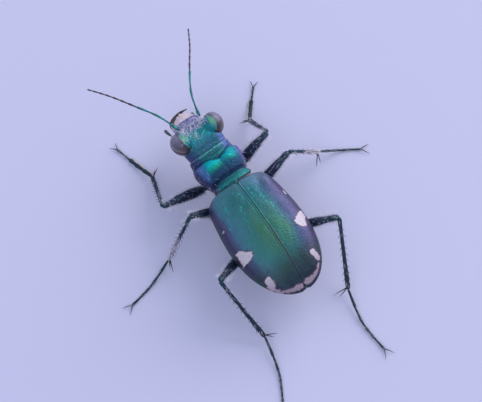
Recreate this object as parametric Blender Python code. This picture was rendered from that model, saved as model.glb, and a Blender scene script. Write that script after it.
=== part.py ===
"""A tiger beetle at life size, standing still on six feet.

The beetle looks along -Y with its left side at +X, and its feet rest on z = 0.
Sizes are in millimetres. Each node is shaped in millimetres and scaled to metres
when it is finished. Heights are above the floor, and places along the body are
measured from the point where the two wing cases start to meet.
"""

import math
from dataclasses import dataclass

import bmesh
import bpy
from mathutils import Matrix, Vector

METRES = 0.001
GAP = 0.2
CENTRE_SHIFT_X = 0.0
CENTRE_SHIFT_Y = -0.42

# Wing cases and the trunk below them
ELYTRA_START_Y = -0.5
ELYTRA_LENGTH = 7.0
ELYTRA_HALF_WIDTH = 2.31
ELYTRA_WIDEST = 0.47
ELYTRA_TOP_Z = 3.95
ELYTRA_HIGHEST = 0.33
ELYTRA_BASE_DROP = 0.3
ELYTRA_APEX_DROP = 1.3
ELYTRA_RIM_Z = 2.56
ELYTRA_RIM_SAG = 0.12
ELYTRA_THICKNESS = 0.5
ELYTRA_SQUARENESS = 2.35
SHOULDER_ROUND = 0.09
SCUTELLUM_LENGTH = 0.55
SCUTELLUM_HALF_WIDTH = 0.3
SCUTELLUM_TOP_Z = 3.62
BELLY_Z = 1.62
BELLY_INSET = 0.52
RIM_CLEARANCE = 0.08
THORAX_FRONT_Y = -0.55
TRUNK_SPLIT_Y = 2.0
ABDOMEN_END_Y = 6.2
TAIL_DEPTH = 0.2

# Prothorax, as stations of place, half width, top and underside. It leans back:
# above its mid height each point lies further back by this share of its height
PROTHORAX_STATIONS = (
    (-3.12, 1.16, 3.46, 1.95),
    (-3.00, 1.24, 3.56, 1.82),
    (-2.82, 1.25, 3.53, 1.70),
    (-2.55, 1.35, 3.70, 1.60),
    (-2.15, 1.41, 3.79, 1.55),
    (-1.70, 1.36, 3.77, 1.55),
    (-1.36, 1.22, 3.60, 1.60),
    (-1.22, 1.14, 3.50, 1.66),
    (-1.08, 1.19, 3.53, 1.76),
    (-0.95, 1.15, 3.42, 1.90),
)
PROTHORAX_SQUARENESS = 2.4
LEAN_BACK = 0.3
LEAN_ABOVE_Z = 2.65

# Head, as stations of place, half width, top and underside
HEAD_STATIONS = (
    (-3.35, 0.88, 3.22, 1.98),
    (-3.55, 1.02, 3.34, 1.90),
    (-3.85, 1.08, 3.40, 1.86),
    (-4.35, 1.00, 3.38, 1.86),
    (-4.80, 0.90, 3.28, 1.90),
    (-5.05, 0.84, 3.14, 1.98),
    (-5.25, 0.76, 3.02, 2.10),
)
HEAD_SQUARENESS = 2.5
HEAD_LEAN_LENGTH = 0.6
EYE_CENTRE = Vector((1.13, -4.22, 3.03))
EYE_RADII = Vector((0.58, 0.68, 0.62))
EYE_LEAN = math.radians(14)
LABRUM_BACK_Y = -5.45
LABRUM_LENGTH = 0.55
LABRUM_HALF_WIDTH = 0.65
LABRUM_TOP_Z = 2.95
LABRUM_DROP = 0.35
LABRUM_THICKNESS = 0.42
LABRUM_BOW = 0.14
LABRUM_TOOTH = 0.12

# Limbs; each profile gives shares of a piece's length with the radius there
FEMUR_RADIUS = 0.29
KNEE_RADIUS = 0.25
TIBIA_RADIUS = 0.25
TARSUS_RADIUS = 0.23
TARSUS_WAIST = 0.17
PAD_WIDENING = 1.35
COXA_HALF_WIDTH = 0.42
COXA_HALF_LENGTH = 0.50
COXA_LEAN = 0.10
COXA_TOP_Z = BELLY_Z - GAP
COXA_BOTTOM_Z = 0.60
FEMUR_ROOT_Z = 0.90
HIP_SPARE = 0.10
CLAW_LENGTH = 0.42
SPUR_LENGTH = 0.55
SPINE_LENGTH = 0.42
FEELER_RADIUS = 0.25
FEELER_TIP_RADIUS = 0.16
TARSOMERE_SHARES = (0.27, 0.22, 0.17, 0.13, 0.21)
SPINE_ROWS = 3
SPINE_FIRST_SHARE = 0.4
SPINE_STEP_SHARE = 0.18
FEMUR_PROFILE = ((0.0, 0.24), (0.10, 0.27), (0.28, FEMUR_RADIUS), (0.60, 0.27),
                 (0.90, KNEE_RADIUS), (1.0, 0.23))
TIBIA_PROFILE = ((0.0, 0.18), (0.06, TIBIA_RADIUS), (0.5, 0.23), (0.92, TIBIA_RADIUS),
                 (1.0, 0.23))
FEELER_BASE_PROFILE = ((0.0, FEELER_RADIUS), (0.22, 0.27), (0.30, 0.22), (0.38, FEELER_RADIUS),
                       (0.68, 0.23), (0.72, 0.21), (0.94, 0.24), (1.0, 0.22))
FEELER_LASH_JOINTS = 7

# Mouthparts of the left side; the right jaw closes behind the left one
MANDIBLE_ROOT = (0.55, -5.46, 1.92)
MANDIBLE_BEND = (0.74, -5.78, 1.94)
MANDIBLE_PROFILE = ((0.0, 0.25), (0.25, 0.24), (0.5, 0.19), (0.75, 0.13), (1.0, 0.05))
MANDIBLE_REACH = {1: -0.36, -1: -0.05}
MANDIBLE_FRONT_Y = {1: -6.36, -1: -6.02}
MANDIBLE_TEETH = ((0.30, 0.36), (0.52, 0.28))
PALP_POINTS = ((0.42, -5.05, 1.52), (0.86, -5.24, 1.40), (1.12, -5.52, 1.46),
               (1.22, -5.86, 1.62))
PALP_PROFILE = ((0.0, 0.20), (0.28, 0.20), (0.34, 0.16), (0.62, 0.20), (0.68, 0.16),
                (0.90, 0.20), (1.0, 0.12))


@dataclass(frozen=True)
class Leg:
    """One leg by its joints, in millimetres from the start of the wing case seam."""

    name: str
    side: int
    coxa: tuple
    knee: tuple
    ankle: tuple
    ball: tuple
    toe: tuple
    dilated: bool = False


LEGS = (
    Leg("front_left", 1, (0.50, -2.05), (3.76, -2.04, 1.90), (2.97, -4.44, 0.52),
        (3.28, -5.75, 0.22), (3.66, -7.15, 0.20), True),
    Leg("front_right", -1, (-0.50, -2.05), (-3.30, -2.38, 2.80), (-3.40, -4.32, 0.80),
        (-4.13, -5.31, 0.24), (-4.94, -6.29, 0.20), True),
    Leg("middle_left", 1, (0.60, -0.30), (3.03, -0.35, 2.95), (4.88, 0.28, 0.55),
        (6.40, 0.90, 0.22), (7.92, 1.32, 0.20)),
    Leg("middle_right", -1, (-0.60, -0.30), (-3.63, -0.77, 2.70), (-5.58, -0.61, 0.75),
        (-6.83, -0.26, 0.22), (-7.87, 0.32, 0.20)),
    Leg("hind_left", 1, (0.50, 2.10), (3.72, 3.67, 2.90), (2.91, 6.89, 0.45),
        (3.33, 8.90, 0.22), (4.20, 10.65, 0.20)),
    Leg("hind_right", -1, (-0.50, 2.10), (-3.72, 4.05, 2.90), (-2.40, 7.06, 0.45),
        (-2.05, 9.00, 0.22), (-2.20, 10.92, 0.20)),
)

# Feeler routes: root, three bends and tip; the green base ends at the third point
FEELERS = (
    ("left", ((0.92, -5.44, 3.08), (1.34, -6.30, 3.16), (2.08, -7.62, 3.02),
              (2.85, -8.97, 2.80), (3.58, -10.15, 2.45))),
    ("right", ((-0.72, -5.46, 3.24), (-0.92, -6.38, 3.36), (-1.72, -7.86, 3.30),
               (-2.50, -9.08, 2.95), (-3.18, -10.33, 2.45))),
)

COLOURS = {
    "shell": (0.02, 0.22, 0.17),
    "crown": (0.03, 0.25, 0.24),
    "under": (0.02, 0.06, 0.09),
    "leg": (0.02, 0.05, 0.04),
    "eye": (0.20, 0.18, 0.17),
    "lip": (0.75, 0.68, 0.55),
    "jaw": (0.05, 0.03, 0.02),
    "feeler": (0.12, 0.08, 0.05),
}


def clear_scene():
    """Remove whatever the opened file holds."""
    for thing in list(bpy.data.objects):
        bpy.data.objects.remove(thing, do_unlink=True)


def new_material(name, colour_name):
    """One plain surface for one node."""
    material = bpy.data.materials.new(name + "_surface")
    material.use_nodes = True
    shader = material.node_tree.nodes["Principled BSDF"]
    shader.inputs["Base Color"].default_value = (*COLOURS[colour_name], 1.0)
    shader.inputs["Roughness"].default_value = 0.35
    shader.inputs["Metallic"].default_value = 0.0 if colour_name in ("eye", "lip") else 0.5
    return material


def lerp(first, last, share):
    """The value that lies the given share of the way from first to last."""
    return first + (last - first) * share


def largest_surface(bm):
    """Keep the largest closed surface of a mesh and drop loose scraps."""
    bm.verts.ensure_lookup_table()
    unseen = set(bm.verts)
    groups = []
    while unseen:
        start = unseen.pop()
        group = {start}
        edge_of_group = [start]
        while edge_of_group:
            vert = edge_of_group.pop()
            for edge in vert.link_edges:
                other = edge.other_vert(vert)
                if other in unseen:
                    unseen.discard(other)
                    group.add(other)
                    edge_of_group.append(other)
        groups.append(group)
    groups.sort(key=len)
    for group in groups[:-1]:
        bmesh.ops.delete(bm, geom=list(group), context="VERTS")


def mesh_object(name, bm):
    """Turn a mesh under construction into an object in the scene."""
    mesh = bpy.data.meshes.new(name)
    bm.to_mesh(mesh)
    bm.free()
    thing = bpy.data.objects.new(name, mesh)
    bpy.context.scene.collection.objects.link(thing)
    return thing


def combine(body, others, operation):
    """Join closed meshes to a body, or cut them out of it, and return one mesh."""
    target = mesh_object("working_body", body)
    group = bpy.data.collections.new("working_pieces")
    bpy.context.scene.collection.children.link(group)
    pieces = []
    for index, other in enumerate(others):
        piece = mesh_object("working_piece_%d" % index, other)
        bpy.context.scene.collection.objects.unlink(piece)
        group.objects.link(piece)
        pieces.append(piece)
    modifier = target.modifiers.new("combine", "BOOLEAN")
    modifier.operation = operation
    modifier.operand_type = "COLLECTION"
    modifier.collection = group
    bpy.context.view_layer.update()
    depsgraph = bpy.context.evaluated_depsgraph_get()
    result = bmesh.new()
    result.from_object(target, depsgraph)
    for piece in pieces:
        bpy.data.objects.remove(piece, do_unlink=True)
    bpy.data.collections.remove(group)
    bpy.data.objects.remove(target, do_unlink=True)
    largest_surface(result)
    return result


def finish(name, bm, colour_name):
    """Scale a shape to metres, centre it on the floor and make it a node."""
    bmesh.ops.recalc_face_normals(bm, faces=bm.faces[:])
    if bm.calc_volume(signed=True) < 0.0:
        bmesh.ops.reverse_faces(bm, faces=bm.faces[:])
    shift = Matrix.Translation((CENTRE_SHIFT_X, CENTRE_SHIFT_Y, 0.0))
    bm.transform(Matrix.Scale(METRES, 4) @ shift)
    thing = mesh_object(name, bm)
    thing.data.shade_smooth()
    thing.data.set_sharp_from_angle(angle=math.radians(40))
    thing.data.materials.append(new_material(name, colour_name))
    return thing


def section(centre, along, half_width, half_height, up=Vector((0.0, 0.0, 1.0))):
    """Where a unit circle goes to be one cross-section, facing along a direction."""
    along = Vector(along).normalized()
    side = Vector(up).cross(along).normalized()
    top = along.cross(side)
    axes = Matrix((side, top, along)).transposed().to_4x4()
    stretch = Matrix.Diagonal((half_width, half_height, 1.0, 1.0))
    return Matrix.Translation(centre) @ axes @ stretch


def loft(sections, sides, squareness=2.0):
    """A closed tube through a run of cross-sections."""
    bm = bmesh.new()
    bmesh.ops.create_circle(bm, cap_ends=True, radius=1.0, segments=sides)
    for vert in bm.verts:
        spread = abs(vert.co.x) ** squareness + abs(vert.co.y) ** squareness
        vert.co /= spread ** (1.0 / squareness)
    bmesh.ops.transform(bm, matrix=sections[0], verts=bm.verts[:])
    face = bm.faces[:][0]
    for index, (before, after) in enumerate(zip(sections, sections[1:])):
        grown = bmesh.ops.extrude_face_region(bm, geom=[face])["geom"]
        if index > 0:
            bmesh.ops.delete(bm, geom=[face], context="FACES_ONLY")
        fresh = [item for item in grown if isinstance(item, bmesh.types.BMVert)]
        face = next(item for item in grown if isinstance(item, bmesh.types.BMFace))
        bmesh.ops.transform(bm, matrix=after @ before.inverted(), verts=fresh)
    bmesh.ops.recalc_face_normals(bm, faces=bm.faces[:])
    return bm


def curve_point(points, share):
    """A point a share of the way along a smooth curve through a few points."""
    spans = len(points) - 1
    place = min(max(share, 0.0), 1.0) * spans
    index = min(int(place), spans - 1)
    t = place - index
    p1 = Vector(points[index])
    p2 = Vector(points[index + 1])
    p0 = Vector(points[index - 1]) if index > 0 else 2 * p1 - p2
    p3 = Vector(points[index + 2]) if index + 2 <= spans else 2 * p2 - p1
    return 0.5 * (2 * p1 + (p2 - p0) * t + (2 * p0 - 5 * p1 + 4 * p2 - p3) * t * t
                  + (3 * p1 - p0 - 3 * p2 + p3) * t * t * t)


def limb(points, stations, sides, flatten=1.0, up=Vector((0.0, 0.0, 1.0))):
    """A round tube along a curve; stations give share of the way and radius."""
    step = 0.01
    frames = []
    for share, radius in stations:
        before = curve_point(points, share - step)
        after = curve_point(points, share + step)
        centre = curve_point(points, share)
        frames.append(section(centre, after - before, radius, radius * flatten, up))
    return loft(frames, sides)


def thorn(root, direction, length, radius, sides=5):
    """A tapered spine with its root sunk below where it grows."""
    direction = Vector(direction).normalized()
    root = Vector(root) - direction * radius
    helper = Vector((0.0, 0.0, 1.0)) if abs(direction.z) < 0.9 else Vector((1.0, 0.0, 0.0))
    frames = []
    for share, size in ((0.0, 1.0), (0.5, 0.72), (1.0, 0.22)):
        centre = root + direction * (length + radius) * share
        frames.append(section(centre, direction, radius * size, radius * size, helper))
    return loft(frames, sides)


def ellipsoid(centre, radii, turns, rings):
    """A closed egg shape with its poles to the left and right."""
    bm = bmesh.new()
    bmesh.ops.create_uvsphere(bm, u_segments=turns, v_segments=rings, radius=1.0)
    bm.transform(Matrix.Rotation(math.radians(90), 4, "Y"))
    bm.transform(Matrix.Translation(centre) @ Matrix.Diagonal((*radii, 1.0)))
    return bm


def elytra_half_width(share):
    """Half width of the closed wing cases at a share of their length."""
    if share < ELYTRA_WIDEST:
        ahead = 1.0 - share / ELYTRA_WIDEST
        width = 1.0 - 0.19 * ahead ** 1.76
    else:
        behind = min((share - ELYTRA_WIDEST) / (1.0 - ELYTRA_WIDEST), 1.0)
        width = math.sqrt(1.0 - behind ** 2.1)
    if share < SHOULDER_ROUND:
        corner = 1.0 - max(share, 0.0) / SHOULDER_ROUND
        width *= lerp(1.0, 0.80, 1.0 - math.sqrt(1.0 - corner * corner))
    return ELYTRA_HALF_WIDTH * width


def elytra_top(share):
    """Height of the back at a share of the wing cases' length."""
    if share < ELYTRA_HIGHEST:
        ahead = 1.0 - max(share, 0.0) / ELYTRA_HIGHEST
        return ELYTRA_TOP_Z - ELYTRA_BASE_DROP * ahead * ahead
    behind = (share - ELYTRA_HIGHEST) / (1.0 - ELYTRA_HIGHEST)
    return ELYTRA_TOP_Z - ELYTRA_APEX_DROP * behind ** 2.5


def elytra_rim(share):
    """Height of the outer rim of the wing cases at a share of their length."""
    return ELYTRA_RIM_Z - ELYTRA_RIM_SAG * math.sin(math.pi * min(max(share, 0.0), 1.0))


def seam_offset(share):
    """Distance of a wing case's inner edge from the middle, wider at the scutellum."""
    notch = 1.0 - max(share, 0.0) * ELYTRA_LENGTH / (SCUTELLUM_LENGTH + GAP)
    return GAP / 2.0 + (SCUTELLUM_HALF_WIDTH + GAP / 2.0) * max(notch, 0.0)


def inner_share(size):
    """How much of a width or height is left inside the wing case's thickness."""
    return max(1.0 - ELYTRA_THICKNESS / size, 0.22)


def elytra_section(share, angle, inside):
    """A point of a wing case's arch, at an angle from the back down to the rim."""
    start = seam_offset(share)
    width = elytra_half_width(share) - start
    rim = elytra_rim(share)
    height = elytra_top(share) - rim
    if inside:
        width *= inner_share(width)
        height *= inner_share(height)
    power = 2.0 / ELYTRA_SQUARENESS
    return start + width * math.sin(angle) ** power, rim + height * math.cos(angle) ** power


def block(cuts):
    """A unit block with its edges cut into equal lengths along X, Y and Z."""
    bm = bmesh.new()
    bmesh.ops.create_cube(bm, size=1.0, matrix=Matrix.Translation((0.5, 0.5, 0.5)))
    for axis, count in enumerate(cuts):
        if count == 0:
            continue
        edges = [edge for edge in bm.edges
                 if abs(edge.verts[0].co[axis] - edge.verts[1].co[axis]) > 0.5]
        bmesh.ops.subdivide_edges(bm, edges=edges, cuts=count, use_grid_fill=True)
    return bm


def build_elytron(name, side):
    """One wing case, an arched shell that narrows to its own rounded tip.

    Rows of faces lie closer together towards the tip. The last row stops a little
    short of it, so that the arch keeps a small width there.
    """
    bm = block((9, 20, 0))
    widest_turn = math.radians(84)
    for vert in bm.verts:
        across, along, outer = vert.co
        if along < 0.45:
            share = ELYTRA_WIDEST * (along / 0.45) ** 1.35
        else:
            turn = widest_turn * (along - 0.45) / 0.55
            share = lerp(ELYTRA_WIDEST, 1.0, math.sin(turn))
        x, z = elytra_section(share, math.radians(90) * across, outer < 0.5)
        vert.co = (side * x, ELYTRA_START_Y + ELYTRA_LENGTH * share, z)
    return finish(name, bm, "shell")


def trunk_sections(places):
    """Outlines of the trunk under the wing cases, one for each place along it."""
    frames = []
    for y, tightness in places:
        share = max((y - ELYTRA_START_Y) / ELYTRA_LENGTH, 0.0)
        width = elytra_half_width(share) - GAP / 2.0
        height = elytra_top(share) - elytra_rim(share)
        dome = (width * inner_share(width) - GAP / 2.0 - RIM_CLEARANCE) * tightness
        crown = height * inner_share(height) * tightness
        rise = max(share - 0.5, 0.0) / 0.5
        belly = lerp(BELLY_Z, elytra_rim(share) - GAP - TAIL_DEPTH, rise ** 2.2)
        ledge = elytra_rim(share) - GAP
        hips = max(elytra_half_width(share) - BELLY_INSET, dome) * tightness
        frames.append((y, ledge, dome, crown, hips, (ledge - belly) * tightness))
    return frames


def build_trunk(places, sides=24):
    """A closed run of the trunk, domed above its ledge and rounded below it."""
    stations = trunk_sections(places)
    forward = Vector((0.0, 1.0, 0.0))
    marks = [section((0.0, item[0], 0.0), forward, 1.0, 1.0) for item in stations]
    bm = loft(marks, sides)
    by_place = {round(item[0], 4): item for item in stations}
    for vert in bm.verts:
        y, ledge, dome, crown, hips, depth = by_place[round(vert.co.y, 4)]
        above = vert.co.z > 0.01
        width = dome if above else hips
        height = crown if above else depth
        vert.co.x *= width
        vert.co.z = ledge + vert.co.z * height
    return bm


def build_thorax():
    """The middle and hind thorax, with the scutellum as the raised tip on its back."""
    places = ((THORAX_FRONT_Y, 0.72), (-0.6, 0.84), (-0.35, 0.95), (0.0, 1.0), (0.5, 1.0),
              (1.0, 1.0), (1.5, 1.0), (TRUNK_SPLIT_Y - GAP / 2.0, 1.0))
    bm = build_trunk(places)
    start = THORAX_FRONT_Y + 0.15
    length = SCUTELLUM_LENGTH
    middle_z = SCUTELLUM_TOP_Z - 0.45
    frames = []
    for share, half_width in ((0.0, 1.0), (0.55, 0.62), (1.0, 0.12)):
        centre = (0.0, start + length * share, middle_z)
        frames.append(section(centre, (0.0, 1.0, 0.0), SCUTELLUM_HALF_WIDTH * half_width, 0.45))
    wedge = loft(frames, 8, 3.0)
    return finish("thorax", combine(bm, [wedge], "UNION"), "under")


def build_abdomen():
    """The abdomen, from the hind thorax to its tip under the wing cases."""
    first = TRUNK_SPLIT_Y + GAP / 2.0
    places = [(first, 1.0)]
    for share in (0.16, 0.32, 0.48, 0.63, 0.76, 0.86, 0.94, 1.0):
        tightness = 1.0 if share < 0.9 else lerp(0.92, 0.62, (share - 0.9) / 0.1)
        places.append((lerp(first, ABDOMEN_END_Y, share), tightness))
    return finish("abdomen", build_trunk(places), "under")


def stations_to_sections(stations):
    """Cross-sections from stations of place, half width, top and underside."""
    frames = []
    for y, half_width, top, bottom in stations:
        centre = (0.0, y, (top + bottom) / 2.0)
        frames.append(section(centre, (0.0, 1.0, 0.0), half_width, (top - bottom) / 2.0))
    return frames


def lean_back(bm, rear_y, length):
    """Shift the upper half of a body part back, less and less over a length ahead of rear_y."""
    for vert in bm.verts:
        share = 1.0 - max(rear_y - vert.co.y, 0.0) / length
        vert.co.y += LEAN_BACK * max(share, 0.0) * max(vert.co.z - LEAN_ABOVE_Z, 0.0)
    return bm


def build_prothorax():
    """The prothorax, a rounded collar with a groove near each end of its disc."""
    bm = loft(stations_to_sections(PROTHORAX_STATIONS), 24, PROTHORAX_SQUARENESS)
    return finish("prothorax", lean_back(bm, PROTHORAX_STATIONS[0][0], 1.0), "crown")


def eye_shape(side, extra):
    """An eye's egg shape, larger all round by the extra for its socket."""
    radii = EYE_RADII + Vector((extra, extra, extra))
    bm = ellipsoid((0.0, 0.0, 0.0), radii, 18, 12)
    bm.transform(Matrix.Rotation(EYE_LEAN, 4, "Z"))
    bm.transform(Matrix.Translation(EYE_CENTRE))
    if side < 0:
        bm.transform(Matrix.Diagonal((-1.0, 1.0, 1.0, 1.0)))
        bmesh.ops.reverse_faces(bm, faces=bm.faces[:])
    return bm


def build_head():
    """The head capsule with a socket cut on each side for its eye."""
    bm = loft(stations_to_sections(HEAD_STATIONS), 24, HEAD_SQUARENESS)
    lean_back(bm, HEAD_STATIONS[0][0], HEAD_LEAN_LENGTH)
    sockets = [eye_shape(side, GAP) for side in (1, -1)]
    return finish("head", combine(bm, sockets, "DIFFERENCE"), "crown")


def build_labrum():
    """The pale upper lip, a plate that slopes forward to a blunt middle tooth."""
    bm = block((8, 4, 0))
    for vert in bm.verts:
        across, along, up = vert.co
        reach = across * 2.0 - 1.0
        half_width = LABRUM_HALF_WIDTH * (1.0 - 0.22 * along * along)
        front = 1.0 - 0.28 * reach * reach
        tooth = LABRUM_TOOTH * max(1.0 - abs(reach) * 4.0, 0.0)
        y = LABRUM_BACK_Y - (LABRUM_LENGTH * front + tooth) * along
        bow = LABRUM_BOW * reach * reach
        top = LABRUM_TOP_Z - LABRUM_DROP * along - bow
        thickness = LABRUM_THICKNESS * (1.0 - 0.35 * along)
        vert.co = (half_width * reach, y, top - thickness * (1.0 - up))
    return finish("labrum", bm, "lip")


def build_mandible(name, side):
    """One sickle jaw with two teeth on its inner edge; the left one closes in front."""
    front = MANDIBLE_FRONT_Y[side]
    points = (MANDIBLE_ROOT, MANDIBLE_BEND, (0.58, lerp(MANDIBLE_BEND[1], front, 0.72), 1.98),
              (MANDIBLE_REACH[side], front, 2.04))
    blade = limb([(side * x, y, z) for x, y, z in points], MANDIBLE_PROFILE, 10, 0.9)
    teeth = []
    for share, length in MANDIBLE_TEETH:
        root = curve_point(points, share)
        root.x *= side
        teeth.append(thorn(root, (-side, -0.25, 0.0), length, 0.1, 6))
    return finish(name, combine(blade, teeth, "UNION"), "jaw")


def build_palp(name, side):
    """One jointed palp beside the jaws, thicker at its last joint."""
    points = [(side * x, y, z) for x, y, z in PALP_POINTS]
    return finish(name, limb(points, PALP_PROFILE, 8), "feeler")


def build_feeler(side_name, points):
    """The bare green base of a feeler and its thin brown lash, as two nodes."""
    finish("feeler_base_" + side_name, limb(points[:3], FEELER_BASE_PROFILE, 8), "leg")
    away = (Vector(points[3]) - Vector(points[2])).normalized()
    lash = (tuple(Vector(points[2]) + away * (GAP + 0.02)), points[3], points[4])
    stations = []
    for joint in range(FEELER_LASH_JOINTS):
        radius = lerp(0.23, FEELER_TIP_RADIUS, joint / (FEELER_LASH_JOINTS - 1))
        stations.append((joint / FEELER_LASH_JOINTS, radius * 0.86))
        stations.append(((joint + 0.8) / FEELER_LASH_JOINTS, radius))
    stations.append((1.0, FEELER_TIP_RADIUS * 0.5))
    finish("feeler_lash_" + side_name, limb(lash, stations, 8), "feeler")


def build_coxa(leg):
    """The hip of a leg, a stout cone that narrows down from its flat top under the body."""
    frames = []
    for share, size in ((0.0, 1.0), (0.35, 1.0), (0.75, 0.85), (1.0, 0.5)):
        x = leg.coxa[0] + leg.side * COXA_LEAN * share
        centre = (x, leg.coxa[1], lerp(COXA_TOP_Z, COXA_BOTTOM_Z, share))
        frames.append(section(centre, (0.0, 0.0, -1.0), COXA_HALF_WIDTH * size,
                              COXA_HALF_LENGTH * size, Vector((0.0, 1.0, 0.0))))
    return finish("coxa_" + leg.name, loft(frames, 12, 2.2), "leg")


def build_femur(leg):
    """The thigh, from beside its hip to just short of the knee."""
    knee = Vector(leg.knee)
    hip = Vector((leg.coxa[0] + leg.side * COXA_LEAN, leg.coxa[1], FEMUR_ROOT_Z))
    along = (knee - hip).normalized()
    shin = (Vector(leg.ankle) - knee).normalized()
    cosine = abs(along.dot(shin))
    short = (TIBIA_RADIUS + GAP + KNEE_RADIUS * cosine) / math.sqrt(1.0 - cosine * cosine)
    start = hip + along * (COXA_HALF_WIDTH + GAP + HIP_SPARE)
    end = knee - along * short
    return finish("femur_" + leg.name, limb((start, end), FEMUR_PROFILE, 10), "leg")


def ankle_space(leg):
    """How far shin and foot each stop from the ankle so that their faces stay apart."""
    shin = Vector(leg.ankle) - Vector(leg.knee)
    foot = Vector(leg.ball) - Vector(leg.ankle)
    return GAP / 2.0 + TARSUS_WAIST * math.tan(shin.angle(foot) / 2.0)


def build_tibia(leg):
    """The shin, spined along its length, with two spurs at its lower end."""
    knee = Vector(leg.knee)
    ankle = Vector(leg.ankle)
    along = (ankle - knee).normalized()
    out = along.cross(Vector((0.0, 0.0, 1.0))).normalized()
    start = knee - along * TIBIA_RADIUS
    end = ankle - along * ankle_space(leg)
    shin = limb((start, end), TIBIA_PROFILE, 8)
    thorns = []
    for row in range(SPINE_ROWS):
        place = start.lerp(end, SPINE_FIRST_SHARE + SPINE_STEP_SHARE * row)
        for turn in (-1, 1):
            tip_way = out * turn + along * 0.9
            thorns.append(thorn(place + out * turn * 0.12, tip_way, SPINE_LENGTH, 0.09))
    for turn in (-1, 1):
        tip_way = along + out * turn * 0.55
        tip_way.z = max(tip_way.z, -0.15)
        thorns.append(thorn(start.lerp(end, 0.93) + out * turn * 0.1, tip_way, SPUR_LENGTH, 0.1))
    return finish("tibia_" + leg.name, rest_on_floor(combine(shin, thorns, "UNION")), "leg")


def rest_on_floor(bm):
    """Press whatever would dip below the floor flat against it."""
    for vert in bm.verts:
        vert.co.z = max(vert.co.z, 0.0)
    return bm


def build_tarsus(leg):
    """The foot: five joints, the first three widened on a male's front feet, and claws."""
    ankle = Vector(leg.ankle)
    away = (Vector(leg.ball) - ankle).normalized()
    points = (ankle + away * ankle_space(leg), leg.ball, leg.toe)
    stations = []
    place = 0.0
    for joint, share in enumerate(TARSOMERE_SHARES):
        wide = TARSUS_RADIUS * (PAD_WIDENING if leg.dilated and joint < 3 else 1.0)
        stations.append((place + 0.02, TARSUS_WAIST))
        stations.append((place + share * 0.78, wide))
        place += share
    stations.append((1.0, TARSUS_WAIST))
    foot = limb(points, stations, 8)
    forward = Vector(leg.toe) - Vector(leg.ball)
    forward.z = 0.0
    forward.normalize()
    across = forward.cross(Vector((0.0, 0.0, 1.0)))
    claws = []
    for turn in (-1, 1):
        root = Vector(leg.toe) + across * turn * 0.05 - forward * 0.08
        root.z = 0.16
        tip_way = forward + across * turn * 0.75
        claws.append(thorn(root, tip_way, CLAW_LENGTH, 0.1, 6))
    return finish("tarsus_" + leg.name, rest_on_floor(combine(foot, claws, "UNION")), "leg")


def main():
    """Build every node of the beetle."""
    clear_scene()
    build_head()
    build_labrum()
    for side_name, side in (("left", 1), ("right", -1)):
        finish("eye_" + side_name, eye_shape(side, 0.0), "eye")
        build_mandible("mandible_" + side_name, side)
        build_palp("palp_" + side_name, side)
        build_elytron("elytron_" + side_name, side)
    for side_name, points in FEELERS:
        build_feeler(side_name, points)
    build_prothorax()
    build_thorax()
    build_abdomen()
    for leg in LEGS:
        build_coxa(leg)
        build_femur(leg)
        build_tibia(leg)
        build_tarsus(leg)


main()
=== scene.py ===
"""Looks of a life-size museum model of a green tiger beetle standing on its feet.

Shapes are in millimetres, measured from where the seam of the wing cases starts, with
the head towards -Y and the beetle's left side at +X. Each piece is moved into the frame
in metres when it is finished.
"""

import logging
import math
import random
from abc import ABC, abstractmethod
from dataclasses import dataclass, field
from enum import Enum
from typing import Any, Callable, Iterable, Sequence

import bmesh
import bpy
from mathutils import Matrix, Vector, noise


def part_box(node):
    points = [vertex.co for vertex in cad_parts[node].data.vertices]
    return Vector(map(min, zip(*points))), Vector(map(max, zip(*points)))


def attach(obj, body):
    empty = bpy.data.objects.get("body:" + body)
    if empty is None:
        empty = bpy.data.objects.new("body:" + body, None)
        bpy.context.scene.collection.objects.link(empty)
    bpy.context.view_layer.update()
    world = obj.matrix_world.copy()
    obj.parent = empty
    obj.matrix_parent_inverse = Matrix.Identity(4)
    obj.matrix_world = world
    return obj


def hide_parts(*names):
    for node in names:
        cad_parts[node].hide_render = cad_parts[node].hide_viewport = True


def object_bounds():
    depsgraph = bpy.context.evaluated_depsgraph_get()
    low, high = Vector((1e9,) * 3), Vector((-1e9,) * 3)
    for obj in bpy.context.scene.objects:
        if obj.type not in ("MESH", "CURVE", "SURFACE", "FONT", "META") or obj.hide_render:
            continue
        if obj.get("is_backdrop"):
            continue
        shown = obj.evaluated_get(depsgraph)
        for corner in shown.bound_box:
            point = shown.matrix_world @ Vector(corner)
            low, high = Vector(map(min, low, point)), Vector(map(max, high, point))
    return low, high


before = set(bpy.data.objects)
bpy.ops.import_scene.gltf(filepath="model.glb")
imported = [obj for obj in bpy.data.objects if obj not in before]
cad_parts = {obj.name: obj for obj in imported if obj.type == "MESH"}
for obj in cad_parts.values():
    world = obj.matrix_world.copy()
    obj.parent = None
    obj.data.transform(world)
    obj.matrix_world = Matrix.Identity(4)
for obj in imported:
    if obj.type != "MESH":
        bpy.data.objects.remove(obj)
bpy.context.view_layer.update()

LOG = logging.getLogger("tiger_beetle")
MM = 0.001
BODY = "root"
NUDGE = 0.002
UP = Vector((0.0, 0.0, 1.0))
BACKWARDS = Vector((0.0, 1.0, 0.0))
SIDES = {"left": 1, "right": -1}
SEAM_START_Y = -0.5
ORIGIN = Vector((0.0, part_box("elytron_left")[0].y / MM - SEAM_START_Y, 0.0))
TO_FRAME = Matrix.Scale(MM, 4) @ Matrix.Translation(ORIGIN)

Colour = Vector
Paint = Callable[[Vector, float, float], Colour]


class Slot(Enum):
    """The record's material slots."""

    SHELL = "shell"
    CROWN = "crown"
    UNDER = "under"
    EYE = "eye"
    LIP = "lip"
    JAW = "jaw"
    LEG = "leg"
    FEELER = "feeler"


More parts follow.
